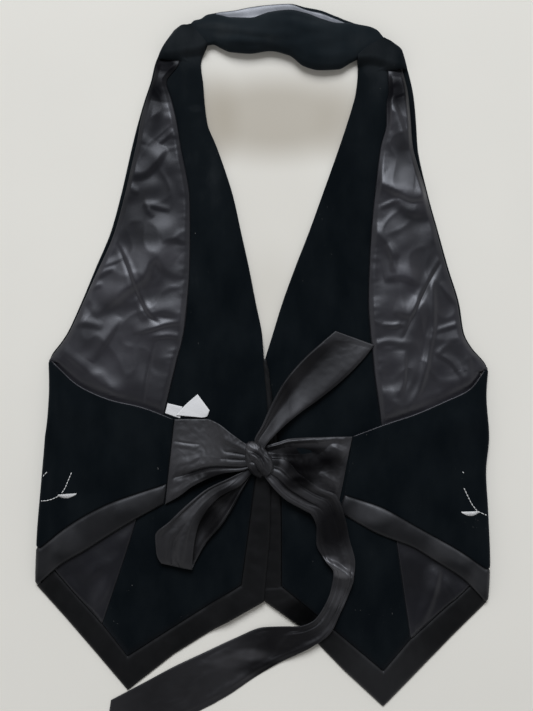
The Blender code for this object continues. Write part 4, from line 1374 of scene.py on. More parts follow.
@dataclass
class Side:
    """One side of the vest: its front, its back panel and the creases of both."""

    wearer: Wearer
    wardrobe: Wardrobe
    stations: tuple[Station, ...]
    side_fold: tuple[Pair, ...]
    band: tuple[BandPoint, ...]
    back: tuple[tuple[Pair, Pair, Pair], ...]
    lining_folds: tuple[Fold, ...]
    back_folds: tuple[Fold, ...]
    lining_creases: tuple[Crease, ...]
    velvet_creases: tuple[Crease, ...]
    rim: Triple
    seed: int

    @property
    def sign(self) -> int:
        """The side's sign along X."""
        return self.wearer.value

    def piece(self, name: str, node: str, slot: str, held: Held, *rests_on: str) -> Piece:
        """Names a piece of this side.

        Args:
            name: The piece's name without the side.
            node: The node's name without the side.
            slot: The record's slot.
            held: How it lies.
            rests_on: The nodes it lies on, without the side.

        Returns:
            The piece.
        """
        side = self.wearer.label
        under = tuple(f"{other}_{side}" for other in rests_on)
        return Piece(f"{name}_{side}", f"{node}_{side}", slot, held, under)

    def fold_x(self, y: Array) -> Array:
        """The x of the side fold at places along Y."""
        return smooth_at(self.side_fold, y)

    def plan(self, column: Array, row: Array) -> tuple[Array, Array]:
        """Points of the front in plan.

        Args:
            column: 0 at the side, 1 at the lining's seam, 2 mid facing, 3 at the front edge.
            row: The station.

        Returns:
            Their x and y.
        """
        lines = [
            smooth_plan([getattr(s, edge) for s in self.stations], row)
            for edge in ("side", "lining", "middle", "front")
        ]
        above = lines[0][1] - self.back[0][0][1]
        out = smoothstep((above + 0.0022) / 0.001)
        reach = FRONT_START - 0.0066 * out + 0.45 * np.maximum(0.0, above)
        side_x = self.fold_x(lines[0][1]) - self.sign * reach
        ease = smoothstep((row - UNDERARM + 0.6) / 0.6)
        lines[0] = (mix(lines[0][0], side_x, ease), lines[0][1])
        return between(lines, column)

    def lift(self, x: Array, y: Array) -> Array:
        """How far this front stands off the surface."""
        return over_lift(x, y) if self.wearer is Wearer.LEFT else under_lift(x, y)

    def uncovered(self, x: Array, y: Array) -> Array:
        """Where no back panel lies on the front.

        Args:
            x: Places along X.
            y: Places along Y.

        Returns:
            1 where the front shows, 0 under the back panel.
        """
        reach = np.abs(x)
        tops = sorted((abs(s[0][0]), s[0][1]) for s in self.back)
        hems = sorted((abs(s[2][0]), s[2][1]) for s in self.back)
        top = np.interp(reach, [t[0] for t in tops], [t[1] for t in tops])
        hem = np.interp(reach, [h[0] for h in hems], [h[1] for h in hems])
        above = smoothstep((y - top - 0.001) / 0.009)
        return np.maximum(above, smoothstep((hem - y - 0.002) / 0.012))

    def make_shell(self) -> None:
        """Makes the outer velvet of the front."""

        def place(u: Array, v: Array) -> Array:
            """The underside, on the surface."""
            x, y = self.plan(3.0 * u, HEM * (1.0 - v))
            return stacked(x, y, self.lift(x, y))

        piece = self.piece("velvet_front", "front", "velvet", Held.LAID)
        Cutter.sheet(piece, (66, 150), upward(self.wearer, place), VELVET, self.wardrobe.velvet)

    def make_facing(self) -> None:
        """Makes the velvet facing along the neckline."""

        def place(u: Array, v: Array) -> Array:
            """The underside, which covers the lining's top and lies over the neckband's end."""
            row = HEM * (1.0 - v) ** 1.5
            wide = smoothstep((1.03 - row) / 0.14)
            x, y = self.plan(mix(1.0, 0.05, wide) + mix(2.0, 2.95, wide) * u, row)
            fade = smoothstep(np.minimum(u, 1.0 - u) * 6.0) * smoothstep(np.minimum(v, 1 - v) * 30)
            wave = lumps(x, 0.6 * y, 0.03, self.seed)
            fine = lumps(x, y, 0.011, self.seed + 1)
            height = self.lift(x, y) + INSIDE_Z + fade * (0.0012 * wave + 0.0003 * fine)
            height = height + 0.0016 * wide * smoothstep((0.52 - u) / 0.18)
            top, _, neck, *_ = neck_cut(x)
            beside = np.maximum(NECK_CUTS[0].x - x, x - NECK_CUTS[-1].x)
            climb = smoothstep((y - neck + 0.008) / 0.009) * smoothstep(1.0 - beside / 0.01)
            climb = climb * smoothstep((top + 0.007 - y) / 0.007)
            return stacked(x, y, mix(height, over_neckband(x, y) + 0.0006 * wave, climb))

        piece = self.piece("velvet_facing", "facing", "velvet", Held.LAID, "front")
        finish = self.wardrobe.facing_velvet
        Cutter.sheet(piece, (56, 270), upward(self.wearer, place), FACING, finish)

    def make_lining(self) -> None:
        """Makes the satin lining with its creases."""

        def place(u: Array, v: Array) -> Array:
            """The underside, creased where it shows."""
            row = mix(HEM, LINING_TOP, v)
            edge_x, edge_y = self.plan(np.zeros(u.shape), row)
            seam_x, seam_y = self.plan(np.ones(u.shape), row)
            width = np.hypot(seam_x - edge_x, seam_y - edge_y)
            start, end, wider = self.rim
            strap = smoothstep((edge_y - start) / 0.06) * smoothstep((end - edge_y) / 0.03)
            rim = (ARMHOLE_RIM * smoothstep(UNDERARM + 0.5 - row) + wider * strap) / width
            rim = np.minimum(rim, 0.35)
            gap = SEAM / width
            share = rim + (1.0 - rim - gap) * u
            x, y = mix(edge_x, seam_x, share), mix(edge_y, seam_y, share)
            shown = self.uncovered(x, y)
            from_edge = width * np.minimum(u, 1.0 - u)
            near = mix(0.3, 1.0, smoothstep(from_edge / 0.006))
            near = near * smoothstep((row - LINING_TOP - 0.1) / 0.4)
            folds = sum(fold.relief(x, y) for fold in self.lining_folds)
            creases = creased(self.lining_creases, x, y)
            deep = 0.0034 if self.wearer is Wearer.LEFT else 0.0052
            soft = deep * lumps(x, y, 0.04, self.seed + 2)
            soft = soft + 0.001 * lumps(x, y, 0.019, self.seed + 3)
            fine = 0.0005 * wrinkles(x, y, 0.034, self.seed + 4)
            seam_side = smoothstep((0.016 - width * (1.0 - u)) / 0.014)
            ripple = lumps(0.25 * x, y, 0.0062, self.seed + 5)
            pucker = 0.0009 * ripple * seam_side * smoothstep(width * (1.0 - u) / 0.0012)
            soft = soft * mix(1.0, 0.25, smoothstep((-0.13 - y) / 0.03))
            high = near * np.maximum(0.0, 0.55 * folds + creases + soft + fine) + pucker
            return stacked(x, y, self.lift(x, y) + INSIDE_Z + shown * high)

        piece = self.piece("satin_lining", "lining", "satin", Held.LAID, "front")
        finish = self.wardrobe.lining
        Cutter.sheet(piece, (80, 300), upward(self.wearer, place), SATIN, finish, 0.001)

    def band_plan(self, at: Array, out: Array) -> tuple[Array, Array]:
        """Points of the hem band in plan.

        Args:
            at: Places along it, counted in points.
            out: 0 at its seam, 1 at its outer edge.

        Returns:
            Their x and y.
        """
        counts = np.arange(len(self.band))
        column = np.interp(at, counts, [p.column for p in self.band])
        row = np.interp(at, counts, [p.row for p in self.band])
        seam_x, seam_y = self.plan(column, row)
        outer_x = np.interp(at, counts, [p.outer[0] for p in self.band])
        outer_y = np.interp(at, counts, [p.outer[1] for p in self.band])
        bend = 1.0 + 5.0 * np.clip(1.0 - 2.5 * at, 0.0, 1.0)
        return mix(seam_x, outer_x, out**bend), mix(seam_y, outer_y, out)

    def make_band(self) -> None:
        """Makes the satin band round the hem and up the front edge."""
        lengths = [0.0]
        for first, second in zip(self.band, self.band[1:]):
            lengths.append(lengths[-1] + math.dist(first.outer, second.outer))
        starts = np.array(lengths) / lengths[-1]

        def place(u: Array, v: Array) -> Array:
            """The underside, a little puckered along the seam."""
            at = np.interp(u, starts, np.arange(len(self.band), dtype=float))
            x, y = self.band_plan(at, 1.0 - v)
            ripple = lumps(u * lengths[-1], 0.2 * v * 0.025, 0.011, self.seed + 6)
            fine = lumps(x, y, 0.007, self.seed + 8)
            pucker = 0.001 * ripple * np.sin(math.pi * v) + 0.0002 * fine
            return stacked(x, y, self.lift(x, y) + pucker)

        piece = self.piece("satin_hem_band", "front_band", "satin", Held.LAID)
        finish = self.wardrobe.hem
        Cutter.sheet(piece, (330, 14), upward(self.wearer, place), BAND, finish, 0.003)

    def back_plan(self, along: Array, down: Array) -> tuple[Array, Array]:
        """Points of the back panel in plan.

        Args:
            along: 0 at the side fold, 1 at the tie's seam.
            down: 0 at the armhole, 1 at the band's seam, 2 at the hem.

        Returns:
            Their x and y.
        """
        at = along * (len(self.back) - 1)
        return between([smooth_plan([s[i] for s in self.back], at) for i in range(3)], down)

    @staticmethod
    def fold_radius(down: Array) -> Array:
        """The radius of the side fold, which is pressed flatter at the armhole and the hem."""
        top, hem = smoothstep(down / 0.22), smoothstep((2.0 - down) / 0.5)
        return FOLD_RADIUS * mix(0.62, 1.0, top) * mix(0.72, 1.0, hem)

    def back_surface(self, along: Array, down: Array) -> Array:
        """The inside of the back velvet on its upper side.

        Args:
            along: 0 at the side fold, 1 at the tie's seam.
            down: 0 at the armhole, 1 at the band's seam, 2 at the hem.

        Returns:
            Its points.
        """
        x, y = self.back_plan(along, down)
        edge_x, edge_y = self.back_plan(np.zeros(along.shape), down)
        fold = self.fold_x(edge_y)
        radius = self.fold_radius(down)
        x = x + (fold - edge_x - self.sign * radius) * (1.0 - smoothstep(along * 3.0))
        reach = np.abs(x - fold) - radius
        settle = np.exp(-np.maximum(0.0, reach) / BACK_SETTLE)
        shown = smoothstep(along * 8.0) * smoothstep((1.0 - along) * 8.0)
        relief = sum(fold_.relief(x, y) for fold_ in self.back_folds)
        relief = relief + creased(self.velvet_creases, x, y)
        relief = relief + 0.0008 * lumps(x, y, 0.026, self.seed + 10)
        z = mix(BACK_Z, 2.0 * radius - VELVET, settle) + shown * relief
        return stacked(x, y, z)

    def turned(self, along: Array, down: Array, thickness: float) -> Array:
        """The inside of a cloth that comes off the surface and turns over at the side.

        Args:
            along: From -1 at the side seam to 0 round the fold, and to 1 on top.
            down: 0 at the armhole, 1 at the band's seam, 2 at the hem.
            thickness: The cloth's thickness.

        Returns:
            Its points.
        """
        top = self.back_surface(np.maximum(along, 0.0), down)
        top[..., 2] -= thickness - VELVET
        _, edge_y = self.back_plan(np.zeros(along.shape), down)
        fold = self.fold_x(edge_y)
        radius = self.fold_radius(down)
        inner = np.maximum(radius - thickness, 0.0004)
        reach = mix(BACK_START, radius, np.clip((along + 1.0) / (1.0 - FOLD_SHARE), 0.0, 1.0))
        angle = math.pi * np.clip((along + FOLD_SHARE) / FOLD_SHARE, 0.0, 1.0)
        on_floor = stacked(fold - self.sign * reach, edge_y, np.full(fold.shape, thickness))
        round_x = fold - self.sign * (radius - inner * np.sin(angle))
        round_fold = stacked(round_x, edge_y, radius - inner * np.cos(angle))
        points = np.where((along < -FOLD_SHARE)[..., None], on_floor, round_fold)
        return np.where((along >= 0.0)[..., None], top, points)

    def make_back(self) -> None:
        """Makes the back panel's velvet, lining and band."""
        knots = (0.0, 0.02, 0.16, 1.0)
        places = (-1.0, -FOLD_SHARE, 0.0, 1.0)

        def velvet(u: Array, v: Array) -> Array:
            """The velvet's inside."""
            return self.turned(np.interp(u, knots, places), mix(1.0, 0.002, v), VELVET)

        def band(u: Array, v: Array) -> Array:
            """The band's inside."""
            points = self.turned(np.interp(u, knots, places), mix(2.0, 1.0, v), BAND)
            ripple = lumps(points[..., 0], 0.3 * points[..., 1], 0.01, self.seed)
            soft = lumps(points[..., 0], points[..., 1], 0.026, self.seed + 12)
            pillow = (0.0008 * ripple + 0.0016 * soft) * np.sin(math.pi * v)
            points[..., 2] += pillow * smoothstep((u - 0.2) / 0.1)
            return points

        def lining(u: Array, v: Array) -> Array:
            """The lining's inside, which shows as a thin edge along the armhole."""
            close = np.interp(v, (0.0, 0.75, 1.0), (0.0, 0.97, 1.0))
            points = self.back_surface(mix(0.01, 1.0, u), mix(1.0, -0.003, close))
            lip = smoothstep((close - 0.99) / 0.007)
            sunk = 0.0018 * (1.0 - smoothstep(u / 0.05))
            points[..., 2] += mix(-SATIN - 2.0 * SEAM, 0.0004 - sunk, lip)
            return points

        wardrobe = self.wardrobe
        side = self.wearer
        panel = self.piece("velvet_back", "back", "velvet", Held.FOLDED, "front")
        Cutter.sheet(panel, (130, 110), upward(side, velvet), VELVET, wardrobe.velvet, 0.0022)
        hem = self.piece("satin_back_band", "back_band", "satin", Held.FOLDED, "front")
        Cutter.sheet(hem, (150, 14), upward(side, band), BAND, wardrobe.band, 0.0028)
        under = self.piece("satin_back_lining", "back_lining", "satin", Held.LAID, "lining")
        Cutter.sheet(under, (80, 80), upward(side, lining), SATIN, wardrobe.lining, 0.0008)

    def build(self) -> None:
        """Makes every piece of the side."""
        self.make_shell()
        self.make_facing()
        self.make_lining()
        self.make_band()
        self.make_back()


def opening_ground(x: Array, y: Array) -> Array:
    """The top of the fronts at a point, which rises smoothly over the opening.

    Args:
        x: Places along X.
        y: Places along Y.

    Returns:
        The height.
    """
    over = OVER_LIFT * lift_fade(y) * smoothstep((OVER_NONE_X - x) / OVER_RAMP)
    high = np.maximum(over, under_lift(x, y))
    return FRONT_TOP + np.where(x < OVER_FULL_X, over_lift(x, y), high)


def surface_ground(x: Array, y: Array) -> Array:
    """The height of the surface that the vest lies on, which is 0 all over."""
    return np.zeros(np.broadcast(x, y).shape)


@dataclass(frozen=True)
class Ribbon:
    """A length of tie: its rows, its pleats in its own u and v, and how crushed it is."""

    rows: tuple[Row, ...]
    pleats: tuple[Crease, ...]
    ground: Place
    above: float
    waves: float
    phase: float
    crush: float
    seed: int

    def points(self, u: Array, v: Array) -> Array:
        """The underside of the ribbon.

        Args:
            u: Across it.
            v: Along it.

        Returns:
            Its points.
        """
        at = (len(self.rows) - 1) * v
        left_x, left_y = smooth_plan([r.left for r in self.rows], at)
        right_x, right_y = smooth_plan([r.right for r in self.rows], at)
        x, y = mix(left_x, right_x, u), mix(left_y, right_y, u)
        height = smooth_line([r.z for r in self.rows], at)
        wave = smooth_line([r.wave for r in self.rows], at)
        tilt = smooth_line([r.tilt for r in self.rows], at)
        swing = 1.0 + np.sin(2.0 * math.pi * (self.waves * u + self.phase))
        height = height + wave * swing + tilt * (2.0 * u - 1.0)
        width = np.hypot(right_x - left_x, right_y - left_y)
        run = np.sqrt((x - x.mean()) ** 2 + (y - y.mean()) ** 2)
        soft = crumple(u * width * 1.6, 0.55 * run + 0.2 * v, 0.0105, self.seed)
        fine = wrinkles(x, y, 0.01, self.seed + 1)
        ends = smoothstep(np.minimum(v, 1.0 - v) * 14.0)
        relief = creased(self.pleats, u, v) + ends * self.crush * (0.5 * soft + 0.25 * fine)
        return stacked(x, y, self.ground(x, y) + self.above + np.maximum(0.0, height + relief))


LEFT_ROOT_ROWS = rows_of(
    Row,
    ((-0.0872, -0.0478), (-0.0962, -0.1325), 0.0018, 0.0001, 0.0008),
    ((-0.072, -0.0475), (-0.0825, -0.1245), 0.0036, 0.0002, 0.0014),
    ((-0.055, -0.0475), (-0.068, -0.1135), 0.0056, 0.0002, 0.0016),
    ((-0.044, -0.051), (-0.054, -0.1065), 0.007, 0.0003, 0.0014),
    ((-0.03, -0.061), (-0.036, -0.1), 0.008, 0.0004, 0.001),
    ((-0.019, -0.069), (-0.019, -0.0975), 0.0084, 0.0004, 0.0006),
    ((-0.008, -0.076), (-0.008, -0.093), 0.008, 0.0002),
)
LEFT_ROOT_PLEATS = rows_of(
    Crease,
    (
        ((0.7, 0.06), (0.75, 0.2), (0.8, 0.36), (0.82, 0.52), (0.87, 0.68), (0.91, 1.0)),
        -0.0042, 0.05, 0.03,
    ),
    (((0.9, 0.04), (0.93, 0.24), (0.95, 0.5)), 0.002, 0.05, 0.05),
    (((0.26, 0.02), (0.31, 0.16), (0.38, 0.32)), -0.0007, 0.016, 0.016),
    (((0.3, 0.02), (0.35, 0.16), (0.42, 0.3)), 0.0006, 0.04, 0.02),
    (((0.5, 0.62), (0.44, 0.82), (0.45, 1.0)), -0.0016, 0.045, 0.03),
    (((0.66, 0.6), (0.63, 0.82), (0.62, 1.0)), -0.0018, 0.045, 0.03),
    (((0.2, 0.52), (0.24, 0.76), (0.26, 1.0)), 0.001, 0.1, 0.05),
    (((0.55, 0.08), (0.57, 0.2), (0.6, 0.34)), 0.0007, 0.06, 0.03),
)
RIGHT_ROOT_ROWS = rows_of(
    Row,
    ((0.0748, -0.14), (0.0898, -0.0652), 0.0018, 0.0004),
    ((0.062, -0.13), (0.073, -0.065), 0.0024, 0.0006),
    ((0.046, -0.119), (0.05, -0.0655), 0.003, 0.0008),
    ((0.031, -0.107), (0.029, -0.0665), 0.003, 0.001),
    ((0.018, -0.097), (0.016, -0.07), 0.0026, 0.001),
    ((0.001, -0.09), (0.001, -0.0745), 0.003, 0.0004),
)
RIGHT_ROOT_PLEATS = rows_of(
    Crease,
    (((0.97, 0.02), (0.95, 0.4), (0.88, 1.0)), 0.0026, 0.04, 0.05),
    (((0.8, 0.3), (0.66, 0.6), (0.5, 1.0)), -0.0046, 0.1, 0.26),
    (((0.76, 0.02), (0.8, 0.12), (0.86, 0.24)), 0.003, 0.2, 0.05),
    (((0.34, 0.04), (0.36, 0.16), (0.4, 0.3)), 0.002, 0.11, 0.04),
)
LOOP_ROWS = rows_of(
    Row,
    ((-0.012, -0.095), (-0.007, -0.096), 0.005),
    ((-0.03, -0.104), (-0.02, -0.111), 0.0056, 0.0004),
    ((-0.054, -0.116), (-0.041, -0.123), 0.008, 0.0008),
    ((-0.072, -0.13), (-0.056, -0.139), 0.0095, 0.001),
    ((-0.09, -0.147), (-0.063, -0.153), 0.0098, 0.0012),
    ((-0.105, -0.162), (-0.067, -0.172), 0.0092, 0.0012),
    ((-0.104, -0.18), (-0.0685, -0.188), 0.0078, 0.001),
    ((-0.0995, -0.1895), (-0.069, -0.196), 0.005, 0.0004),
    ((-0.097, -0.184), (-0.067, -0.1915), 0.0022),
    ((-0.09, -0.169), (-0.055, -0.17), 0.0016, 0.0004, 0.001),
    ((-0.077, -0.151), (-0.04, -0.152), 0.0016, 0.0006, 0.0014),
    ((-0.056, -0.134), (-0.029, -0.135), 0.0016, 0.0004, 0.001),
    ((-0.036, -0.116), (-0.02, -0.118), 0.002, 0.0, 0.0006),
    ((-0.011, -0.094), (-0.0068, -0.0952), 0.003),
)
LOOP_PLEATS = rows_of(
    Crease,
    (((0.06, 0.06), (0.05, 0.24), (0.08, 0.44)), 0.0016, 0.06, 0.06),
    (((0.62, 0.1), (0.6, 0.22), (0.62, 0.36)), 0.0012, 0.2, 0.12),
    (((0.6, 0.34), (0.45, 0.42), (0.34, 0.5)), -0.0026, 0.045, 0.045),
    (((0.78, 0.34), (0.7, 0.42), (0.6, 0.5)), 0.0018, 0.1, 0.06),
    (((0.95, 0.62), (0.94, 0.76), (0.9, 0.96)), 0.004, 0.09, 0.06),
    (((0.55, 0.64), (0.52, 0.78), (0.5, 0.92)), -0.003, 0.2, 0.2),
)
SHORT_TAIL_ROWS = rows_of(
    Row,
    ((-0.006, -0.078), (0.0, -0.08), 0.008),
    ((-0.007, -0.068), (0.004, -0.072), 0.0078, 0.0002),
    ((0.0, -0.054), (0.016, -0.059), 0.0066, 0.0004),
    ((0.01, -0.032), (0.035, -0.043), 0.005, 0.0006),
    ((0.021, -0.012), (0.056, -0.028), 0.0034, 0.0008),
    ((0.041, 0.012), (0.081, -0.008), 0.0024, 0.0006),
    ((0.06, 0.029), (0.099, 0.01), 0.0016, 0.0004),
    ((0.073, 0.04), (0.112, 0.026), 0.0014, 0.0002),
)
SHORT_TAIL_PLEATS = rows_of(
    Crease,
    (((0.03, 0.05), (0.03, 0.5), (0.05, 0.86)), 0.002, 0.04, 0.06),
    (((0.34, 0.06), (0.3, 0.5), (0.24, 0.92)), -0.002, 0.11, 0.2),
    (((0.95, 0.04), (0.94, 0.5), (0.92, 0.96)), 0.002, 0.3, 0.06),
)
LONG_TAIL_ROWS = rows_of(
    Row,
    ((0.0, -0.1), (0.002, -0.086), 0.017),
    ((0.01, -0.113), (0.02, -0.086), 0.0165, 0.0006),
    ((0.023, -0.126), (0.037, -0.101), 0.015, 0.0008),
    ((0.038, -0.135), (0.057, -0.115), 0.0125, 0.001),
    ((0.049, -0.142), (0.073, -0.122), 0.0105, 0.001),
    ((0.054, -0.156), (0.082, -0.144), 0.009, 0.0008),
    ((0.054, -0.171), (0.087, -0.167), 0.0066, 0.0006),
    ((0.06, -0.184), (0.0925, -0.19), 0.0074, 0.0004),
    ((0.071, -0.2), (0.0905, -0.207), 0.0064, 0.0008),
    ((0.068, -0.218), (0.085, -0.224), 0.006, 0.001),
    ((0.06, -0.236), (0.077, -0.242), 0.006, 0.001),
    ((0.05, -0.248), (0.068, -0.26), 0.0062, 0.001),
    ((0.036, -0.253), (0.051, -0.273), 0.006, 0.0008),
    ((0.02, -0.254), (0.035, -0.282), 0.004, 0.0004),
    ((0.0, -0.256), (0.016, -0.292), 0.0004, 0.0004),
    ((-0.027, -0.267), (-0.007, -0.306), 0.0),
    ((-0.057, -0.281), (-0.037, -0.326), 0.0),
    ((-0.087, -0.295), (-0.072, -0.344), 0.0),
    ((-0.117, -0.311), (-0.11, -0.358), 0.0),
    ((-0.151, -0.329), (-0.157, -0.368), 0.0),
)
LONG_TAIL_PLEATS = rows_of(
    Crease,
    (((0.3, 0.085), (0.66, 0.08), (1.0, 0.072)), 0.0034, 0.024, 0.042),
    (((0.66, 0.035), (0.62, 0.055), (0.66, 0.07)), -0.0016, 0.05, 0.05),
    (((0.32, 0.03), (0.34, 0.12), (0.3, 0.21)), -0.0034, 0.08, 0.05),
    (((0.1, 0.03), (0.1, 0.14), (0.12, 0.23)), 0.0022, 0.07, 0.05),
    (((0.62, 0.13), (0.7, 0.18), (0.62, 0.24)), -0.0024, 0.16, 0.11),
    (((0.86, 0.15), (0.9, 0.22), (0.9, 0.3)), 0.0014, 0.1, 0.06),
    (((0.02, 0.27), (0.1, 0.32), (0.06, 0.345)), 0.0014, 0.05, 0.08),
    (((-0.2, 0.374), (0.5, 0.402), (1.2, 0.432)), 0.005, 0.03, 0.012),
    (((0.84, 0.43), (0.66, 0.47), (0.7, 0.52)), 0.002, 0.14, 0.09),
    (((0.3, 0.46), (0.22, 0.52), (0.34, 0.6)), -0.0014, 0.11, 0.12),
    (((0.2, 0.66), (0.44, 0.69), (0.8, 0.73)), 0.0018, 0.014, 0.04),
    (((0.1, 0.74), (0.5, 0.765), (0.9, 0.8)), 0.0016, 0.014, 0.036),
    (((0.1, 0.84), (0.5, 0.86), (0.9, 0.9)), 0.0014, 0.014, 0.036),
    (((0.9, 0.6), (0.86, 0.74), (0.88, 0.92)), 0.0012, 0.09, 0.06),
)


# What each length of tie stands for, its shape, its faces across and along, and whether u and v
# are turned round so that the cloth faces up
TIES = (
    (
        Piece("satin_tie_root_left", "tie_root_left", "satin", Held.GATHERED, ("front_left",)),
        Ribbon(LEFT_ROOT_ROWS, LEFT_ROOT_PLEATS, opening_ground, REST, 1.5, 0.15, 0.0005, 31),
        (110, 120),
        (True, True),
    ),
    (
        Piece("satin_tie_root_right", "tie_root_right", "satin", Held.GATHERED, BOTH_FRONTS),
        Ribbon(RIGHT_ROOT_ROWS, RIGHT_ROOT_PLEATS, opening_ground, REST, 2.0, 0.4, 0.0006, 37),
        (110, 120),
        (True, False),
    ),
    (
        Piece("satin_loop", "tie_loop", "satin", Held.FOLDED, ("front_left",)),
        Ribbon(LOOP_ROWS, LOOP_PLEATS, opening_ground, REST + SATIN, 1.0, 0.55, 0.0005, 41),
        (64, 260),
        (True, False),
    ),
    (
        Piece("satin_short_tail", "tie_short_tail", "satin", Held.LAID, BOTH_FRONTS),
        Ribbon(SHORT_TAIL_ROWS, SHORT_TAIL_PLEATS, opening_ground, REST, 1.0, 0.3, 0.0002, 43),
        (64, 160),
        (False, False),
    ),
    (
        Piece("satin_long_tail", "tie_long_tail", "satin", Held.LAID, ("front_right",)),
        Ribbon(LONG_TAIL_ROWS, LONG_TAIL_PLEATS, surface_ground, 0.0, 1.0, 0.1, 0.0005, 47),
        (56, 480),
        (True, False),
    ),
)


@dataclass
class HalfBow:
    """The satin ties: their gathered roots, the knot, the loop and the two free ends."""

    wardrobe: Wardrobe
    centre: Pair = (-0.0035, -0.0868)
    size: Triple = (0.0125, 0.0182, 0.0088)
    seat: float = 0.92
    turn: float = math.radians(20)
    furrows: tuple[Crease, ...] = rows_of(
        Crease,
        (((-0.55, 0.75), (0.1, 0.42), (0.4, 0.0), (0.34, -0.7)), -0.34, 0.08, 0.14),
        (((-0.8, 0.1), (-0.4, -0.1), (-0.3, -0.6), (-0.1, -0.95)), -0.2, 0.08, 0.07),
        (((0.5, 0.62), (0.72, 0.3), (0.8, -0.2)), -0.26, 0.08, 0.1),
        (((-0.5, 0.45), (-0.06, 0.12), (0.06, -0.5)), 0.12, 0.12, 0.08),
        (((0.1, 0.9), (0.44, 0.6), (0.6, 0.2)), 0.06, 0.08, 0.06),
        (((-0.72, -0.3), (-0.62, -0.55), (-0.36, -0.86)), 0.05, 0.07, 0.06),
    )

    def make_knot(self) -> None:
        """Makes the knot with the furrows of its wraps."""
        bpy.ops.object.select_all(action="DESELECT")
        bpy.ops.mesh.primitive_uv_sphere_add(segments=112, ring_count=80, radius=1.0)
        knot = bpy.context.object
        knot.name = "satin_knot"
        x, y, z = points_of(knot).T
        old = 1.0 - 0.12 * np.exp(-(((x - 0.45 * y - 0.35) / 0.16) ** 2))
        old = old - 0.08 * np.exp(-(((x + 0.35 * y + 0.55) / 0.14) ** 2))
        top = smoothstep((z + 0.25) / 0.5)
        swell = mix(1.0, old, 0.35) + top * creased(self.furrows, x, y)
        swell = swell + 0.045 * crumple(2.0 * x, y + z, 0.42, 5) + 0.014 * wrinkles(x, y, 0.36, 9)
        swell = swell + 0.2 * np.exp(-((x - 0.7) ** 2 + (y + 0.55) ** 2) / 0.22)
        swell = swell + 0.14 * np.exp(-((x + 0.35) ** 2 + (y - 0.9) ** 2) / 0.16)
        swell = swell - 0.12 * np.exp(-((x - 0.85) ** 2 + (y - 0.45) ** 2) / 0.14)
        flat_x, flat_y = x * self.size[0] * swell, y * self.size[1] * swell
        bottom = float(opening_ground(np.array([self.centre[0]]), np.array([self.centre[1]]))[0])
        height = np.maximum(z, -self.seat) * self.size[2] * swell
        points = stacked(
            self.centre[0] + flat_x * math.cos(self.turn) - flat_y * math.sin(self.turn),
            self.centre[1] + flat_x * math.sin(self.turn) + flat_y * math.cos(self.turn),
            bottom + REST + self.seat * self.size[2] + height,
        )
        knot.data.vertices.foreach_set("co", points.ravel())
        bpy.ops.object.shade_smooth()
        Cutter.dress(knot, "satin", self.wardrobe.tie)
        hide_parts("tie_knot")
        log.info("satin_knot")

    def make_ribbon(
        self, piece: Piece, ribbon: Ribbon, size: tuple[int, int], flip: tuple[bool, bool]
    ) -> None:
        """Makes one length of tie.

        Args:
            piece: What it stands for.
            ribbon: Its shape.
            size: Faces across and along.
            flip: Whether to turn u and v round, so that the cloth faces up.
        """

        def place(u: Array, v: Array) -> Array:
            """The underside."""
            return ribbon.points(1.0 - u if flip[0] else u, 1.0 - v if flip[1] else v)

        Cutter.sheet(piece, size, place, SATIN, self.wardrobe.tie, 0.0009)

    def build(self) -> None:
        """Makes the ties."""
        for piece, ribbon, size, flip in TIES:
            self.make_ribbon(piece, ribbon, size, flip)
        self.make_knot()


